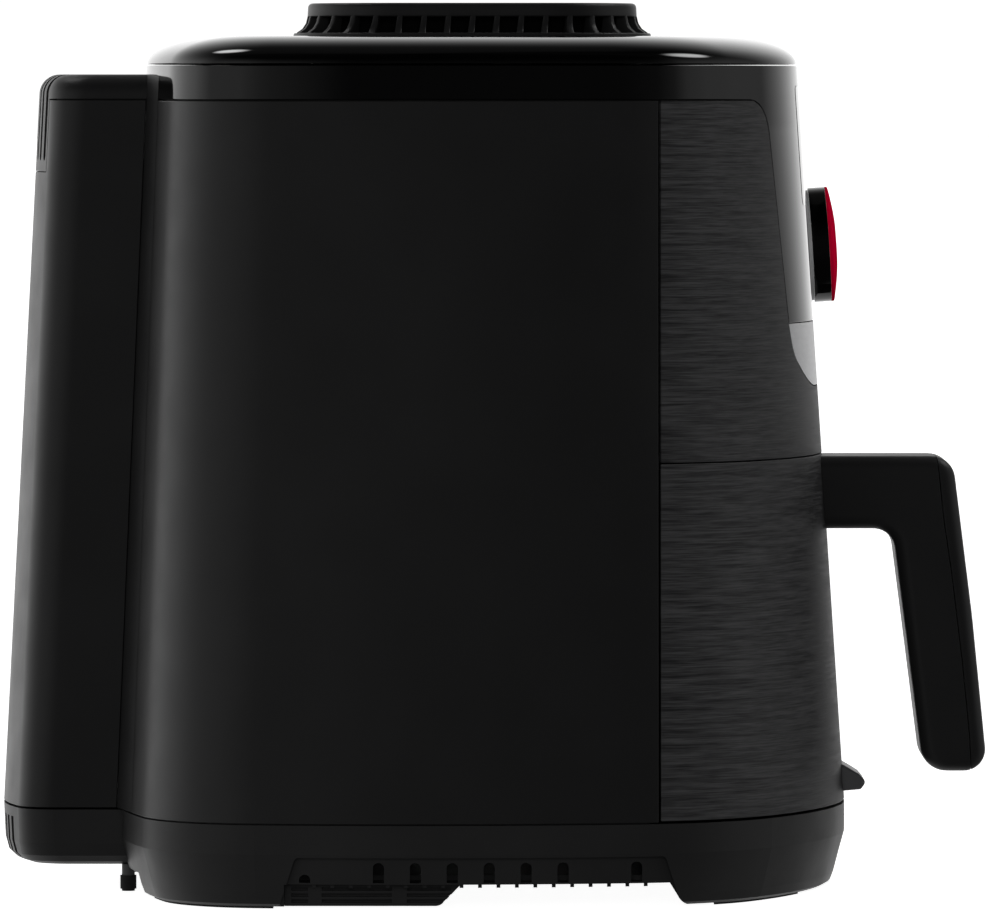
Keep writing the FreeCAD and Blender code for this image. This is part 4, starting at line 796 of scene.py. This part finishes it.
def split_outline(points, outer, shift):
    """The part of a handle outline behind the seam, or in front of it, closed along the seam."""
    sides = [(p.x < seam_at(p.y, shift)) for p in points]
    first = sides.index(True)
    last = len(sides) - 1 - sides[::-1].index(True)
    top = crossing(points[first - 1], points[first], shift)
    bottom = crossing(points[last], points[last + 1], shift)
    seam = [Vector((seam_at(z, shift), z)) for z in arc_steps(bottom.y, top.y, 40)]
    if outer:
        run = [top] + points[first:last + 1] + [bottom]
        return resampled(run, 120)[:-1] + seam[:-1]
    before = resampled(points[:first] + [top], 20)
    after = resampled([bottom] + points[last + 1:], 90)
    return before[:-1] + list(reversed(seam[1:])) + after


def crossing(a, b, shift):
    """Point between a and b that lies on the seam."""
    for _ in range(30):
        middle = (a + b) / 2
        if (middle.x < seam_at(middle.y, shift)) == (b.x < seam_at(b.y, shift)):
            b = middle
        else:
            a = middle
    return b


def build_handle_part(name, node, outer):
    """The handle's core, or its outer cover, as layers across its width that end in the skin."""
    shift, sunk = (0.3 if outer else 0.0), 0.9
    bm = bmesh.new()
    rows = []
    turns = arc_steps(-math.pi / 2, 0.0, 8)
    fillet = [(-HANDLE_HALF_WIDTH + HANDLE_FILLET * (1 + math.sin(t)), HANDLE_FILLET * (1 - math.cos(t)))
              for t in turns]
    flat = HANDLE_HALF_WIDTH - HANDLE_FILLET
    middle = [(x, 0.0) for x in arc_steps(-flat, flat, 6)[1:-1]]
    for x, inset in fillet + middle + [(-x, inset) for x, inset in reversed(fillet)]:
        row = []
        for p in split_outline(handle_outline(inset), outer, shift):
            y = min(p.x, wrap(s_of_x(x, p.y), p.y).y + sunk)
            row.append(Vector((x, y, p.y)))
        rows.append(row)
    verts = grid(bm, rows, closed=True)
    bm.faces.new(verts[0])
    bm.faces.new(verts[-1])
    part = rounded(new_object(name, bm), 0.3)
    stand_for(part, node, MATERIALS["handle_black"])


def build_rest_lip():
    """Curved lip under the handle, run out of the drawer's skin."""
    profile = rounded_path([(-124, 45.6, 0), (-130.4, 44.8, 2), (-136.4, 41.2, 4), (-139.1, 38.2, 1.8),
                            (-137.0, 35.4, 1.4), (-124, 34.8, 0)], 6)
    half, corner, sunk = REST_LIP_HALF_WIDTH, 1.2, 0.6
    centre = Vector((-131.0, 41.0))
    bm = bmesh.new()
    rows = []
    for x in arc_steps(-half, half, 40):
        edge = max(0.0, abs(x) - half + corner)
        inset = corner - math.sqrt(max(0.0, corner ** 2 - edge ** 2))
        row = []
        for p in profile:
            outward = p - centre
            pulled = p - outward * (inset / max(outward.length, 1.0))
            row.append(Vector((x, min(pulled.x, wrap(s_of_x(x, p.y), p.y).y + sunk), pulled.y)))
        rows.append(row)
    verts = grid(bm, rows, closed=True)
    bm.faces.new(verts[0])
    bm.faces.new(verts[-1])
    lip = rounded(new_object("rest_lip_form", bm), 0.2)
    stand_for(lip, "drawer_rest_lip", MATERIALS["lip_grey"])


# ---- dial ---------------------------------------------------------------------------------
def dial_axes():
    """Origin and outward axis of the dial on the leaning front."""
    reach = 10.0
    lean = math.atan2(front_y(DIAL_Z + reach) - front_y(DIAL_Z - reach), 2 * reach)
    return Vector((0, front_y(DIAL_Z), DIAL_Z)), Vector((0, -math.cos(lean), math.sin(lean)))


def turned(name, node, material, profile, bevel):
    """Part turned about the dial's axis from (radius, depth) points, left out of reflections."""
    origin, out = dial_axes()
    across = Vector((1, 0, 0))
    up = across.cross(out) * -1
    bm = bmesh.new()
    rows = []
    for r, depth in profile:
        rows.append([origin + out * depth + (across * math.cos(a) + up * math.sin(a)) * r
                     for a in arc_steps(0.0, 2 * math.pi, 128)[:-1]])
    grid(bm, rows + rows[:1], closed=True)
    merge(bm)
    piece = stand_for(rounded(new_object(name, bm), bevel), node, material)
    piece.visible_glossy = False
    return piece


def build_dial():
    """Gloss barrel, domed band with a rounded rim, and dished centre."""
    back, edge, rim, cap = 1.0, 7.3, 8.5, 9.0
    floor, seat, hub = 5.5, DIAL_DEPTH - 1.4, 4.0
    barrel = rounded_path([(DIAL_RADIUS, back, 0.2), (DIAL_RADIUS, edge, 0.1), (cap + 0.1, edge, 0.05),
                           (cap + 0.1, seat, 0.05), (hub, seat, 0.05), (hub, floor, 0.1),
                           (DIAL_RADIUS - 0.7, floor, 0.1), (DIAL_RADIUS - 0.7, back, 0.05)], 4, True)
    turned("dial_barrel", "dial_knob", MATERIALS["gloss_black"], [(p.x, p.y) for p in barrel], 0.05)
    shoulder, outside = DIAL_RADIUS - 0.5, DIAL_RADIUS - 0.05
    spread = (shoulder ** 2 - cap ** 2) / (DIAL_DEPTH - rim)
    crest = DIAL_DEPTH + cap ** 2 / spread
    dome = [(cap + 0.1, edge), (outside, edge), (outside, rim - 0.45), (outside - 0.12, rim - 0.15)]
    dome += [(r, crest - r ** 2 / spread) for r in arc_steps(shoulder, cap + 0.1, 20)]
    turned("dial_band", "dial_ring", MATERIALS["red_gloss"], dome, 0.08)
    high = DIAL_DEPTH - 0.25
    dish = [(0.0, seat), (cap, seat), (cap, high - 0.15), (cap - 0.15, high)]
    dish += [(r, high - 0.4 * (1 - (r / cap) ** 2)) for r in arc_steps(cap - 0.15, 0.0, 10)[1:]]
    turned("dial_centre", "dial_cap", MATERIALS["gloss_black"], dish, 0.1)
    spindle = [(0.0, -12.5), (3.0, -12.5), (3.0, 6.2), (0.0, 6.2)]
    turned("dial_spindle", "dial_shaft", MATERIALS["screw_steel"], spindle, 0.15)
    guide = [(3.05, -14.5), (4.5, -14.5), (4.5, 0.6), (3.05, 0.6)]
    turned("dial_guide", "encoder_sleeve", MATERIALS["inner_black"], guide, 0.15)


# ---- studio -------------------------------------------------------------------------------
def area_light(name, place, target, size, power):
    light = bpy.data.lights.new(name, "AREA")
    light.energy = power
    light.size = size
    obj = bpy.data.objects.new(name, light)
    obj.location = place
    obj.rotation_euler = (Vector(target) - Vector(place)).to_track_quat("-Z", "Y").to_euler()
    bpy.context.scene.collection.objects.link(obj)
    return obj


# Brightness of the studio by direction round the object, in degrees from the camera,
# positive towards the object's rear
STUDIO_WALLS = [(-180, 1.25), (-162, 1.1), (-144, 0.48), (-132, 0.18), (-116, 0.30), (-90, 0.45),
                (-74, 0.40), (-64, 0.16), (-52, 0.07), (-30, 0.04), (0, 0.035), (8, 0.035), (16, 0.19),
                (30, 0.29), (46, 0.44), (78, 0.44), (98, 1.0), (124, 1.25), (180, 1.25)]
WALL_PEAK = 1.25
# Soft lights overhead: azimuth as above, height, core and edge radius in degrees, and brightness
OVERHEAD_LIGHTS = [(141, 56, 2, 9, 7.0), (-112, 49, 3, 13, 6.5)]


class WorldTree:
    """Short-hands for the world's node tree."""

    def __init__(self, world):
        self.nodes = world.node_tree.nodes
        self.links = world.node_tree.links

    def ramp(self, value, low, high, to_low, to_high, blend="SMOOTHSTEP"):
        node = self.nodes.new("ShaderNodeMapRange")
        node.interpolation_type = blend
        for name, number in zip(RANGE_SOCKETS, (low, high, to_low, to_high)):
            node.inputs[name].default_value = number
        self.links.new(value, node.inputs["Value"])
        return node.outputs["Result"]

    def combine(self, operation, first, second):
        node = self.nodes.new("ShaderNodeMath")
        node.operation = operation
        self.links.new(first, node.inputs[0])
        self.links.new(second, node.inputs[1])
        return node.outputs["Value"]


def wall_brightness(tree, axes):
    """Brightness of the walls by azimuth, as a share of their peak."""
    towards_camera = tree.ramp(axes.outputs["X"], -1.0, 1.0, 1.0, -1.0, "LINEAR")
    azimuth = tree.combine("ARCTAN2", axes.outputs["Y"], towards_camera)
    walls = tree.nodes.new("ShaderNodeValToRGB")
    tree.links.new(tree.ramp(azimuth, -math.pi, math.pi, 0.0, 1.0, "LINEAR"), walls.inputs["Fac"])
    stops = walls.color_ramp.elements
    while len(stops) < len(STUDIO_WALLS):
        stops.new(0.5)
    for stop, (degrees, value) in zip(stops, STUDIO_WALLS):
        share = value / WALL_PEAK
        stop.position = (degrees + 180) / 360
        stop.color = (share, share, share, 1.0)
    return walls.outputs["Color"]


def overhead_glow(tree, direction, azimuth, height, core, edge, strength):
    """Soft round light overhead."""
    turn, rise = math.radians(azimuth), math.radians(height)
    flat = math.cos(rise)
    towards = tree.nodes.new("ShaderNodeVectorMath")
    towards.operation = "DOT_PRODUCT"
    tree.links.new(direction, towards.inputs[0])
    towards.inputs[1].default_value = (-flat * math.cos(turn), flat * math.sin(turn), math.sin(rise))
    outer, inner = math.cos(math.radians(edge)), math.cos(math.radians(core))
    return tree.ramp(towards.outputs["Value"], outer, inner, 0.0, strength)


def build_world():
    """Pale surround: dim towards the camera and overhead, bright beyond the object."""
    world = bpy.data.worlds.new("studio")
    bpy.context.scene.world = world
    world.use_nodes = True
    tree = WorldTree(world)
    axes = tree.nodes.new("ShaderNodeSeparateXYZ")
    direction = tree.nodes.new("ShaderNodeTexCoord").outputs["Generated"]
    tree.links.new(direction, axes.inputs[0])
    above = tree.ramp(axes.outputs["Z"], 0.1, 0.85, WALL_PEAK, 0.05)
    below = tree.ramp(axes.outputs["Z"], -0.7, -0.1, 0.5, 1.0)
    level = tree.combine("MULTIPLY", wall_brightness(tree, axes), above)
    level = tree.combine("MULTIPLY", level, below)
    for light in OVERHEAD_LIGHTS:
        level = tree.combine("ADD", level, overhead_glow(tree, direction, *light))
    sky = tree.nodes["Background"]
    sky.inputs["Color"].default_value = (1.0, 1.0, 1.0, 1.0)
    tree.links.new(level, sky.inputs["Strength"])
    backdrop = tree.nodes.new("ShaderNodeBackground")
    backdrop.inputs["Color"].default_value = (1.0, 1.0, 1.0, 1.0)
    backdrop.inputs["Strength"].default_value = 1.05
    mix = tree.nodes.new("ShaderNodeMixShader")
    tree.links.new(tree.nodes.new("ShaderNodeLightPath").outputs["Is Camera Ray"], mix.inputs["Fac"])
    tree.links.new(sky.outputs["Background"], mix.inputs[1])
    tree.links.new(backdrop.outputs["Background"], mix.inputs[2])
    tree.links.new(mix.outputs["Shader"], tree.nodes["World Output"].inputs["Surface"])


def build_floor():
    """Endless pale floor that reflects nothing."""
    bm = bmesh.new()
    reach = 60000.0
    grid(bm, [[Vector((x, y, 0)) for x in (-reach, 0, reach)] for y in (-reach, 0, reach)])
    floor = new_object("studio_floor", bm)
    if floor.data.polygons[0].normal.z < 0:
        floor.data.flip_normals()
    shader = Shader("studio_floor", (0.86, 0.86, 0.86), 0.7, Emission_Color=(1, 1, 1, 1),
                    Emission_Strength=0.95)
    shader.vary_roughness(shader.noise(shader.coords(), 6.0), 0.65, 0.75)
    floor.data.materials.append(shader.material)
    floor.visible_diffuse = False
    floor.visible_glossy = False


def build_camera():
    """Long lens on the object's left side, a little above its middle and tipped down."""
    distance, height, pitch = 3.87, 0.297, math.radians(2.035)
    camera = bpy.data.cameras.new("camera")
    camera.lens = 375.0
    camera.sensor_width = 36.0
    camera.clip_end = 200.0
    obj = bpy.data.objects.new("camera", camera)
    obj.location = (-distance, 0.0, height)
    ahead = Vector((math.cos(pitch), 0.0, -math.sin(pitch)))
    obj.rotation_euler = ahead.to_track_quat("-Z", "Y").to_euler()
    bpy.context.scene.collection.objects.link(obj)
    bpy.context.scene.camera = obj


def main():
    dress_cad_nodes()
    for build in (build_shell, build_fascia, build_bezel, build_chin, build_lens, build_lid, build_crown,
                  build_duct_cover, build_duct_cap, build_drawer_front, build_rest_lip, build_dial):
        build()
    build_handle_part("handle_grip", "handle_core", False)
    build_handle_part("handle_strip", "handle_cover", True)
    build_world()
    build_floor()
    camera_side = area_light("camera_side", (-5.0, 0.0, 0.9), (0.0, 0.0, 0.2), 2.0, 56.0)
    camera_side.visible_glossy = False
    build_camera()
    bpy.context.scene.view_settings.view_transform = "Standard"


main()
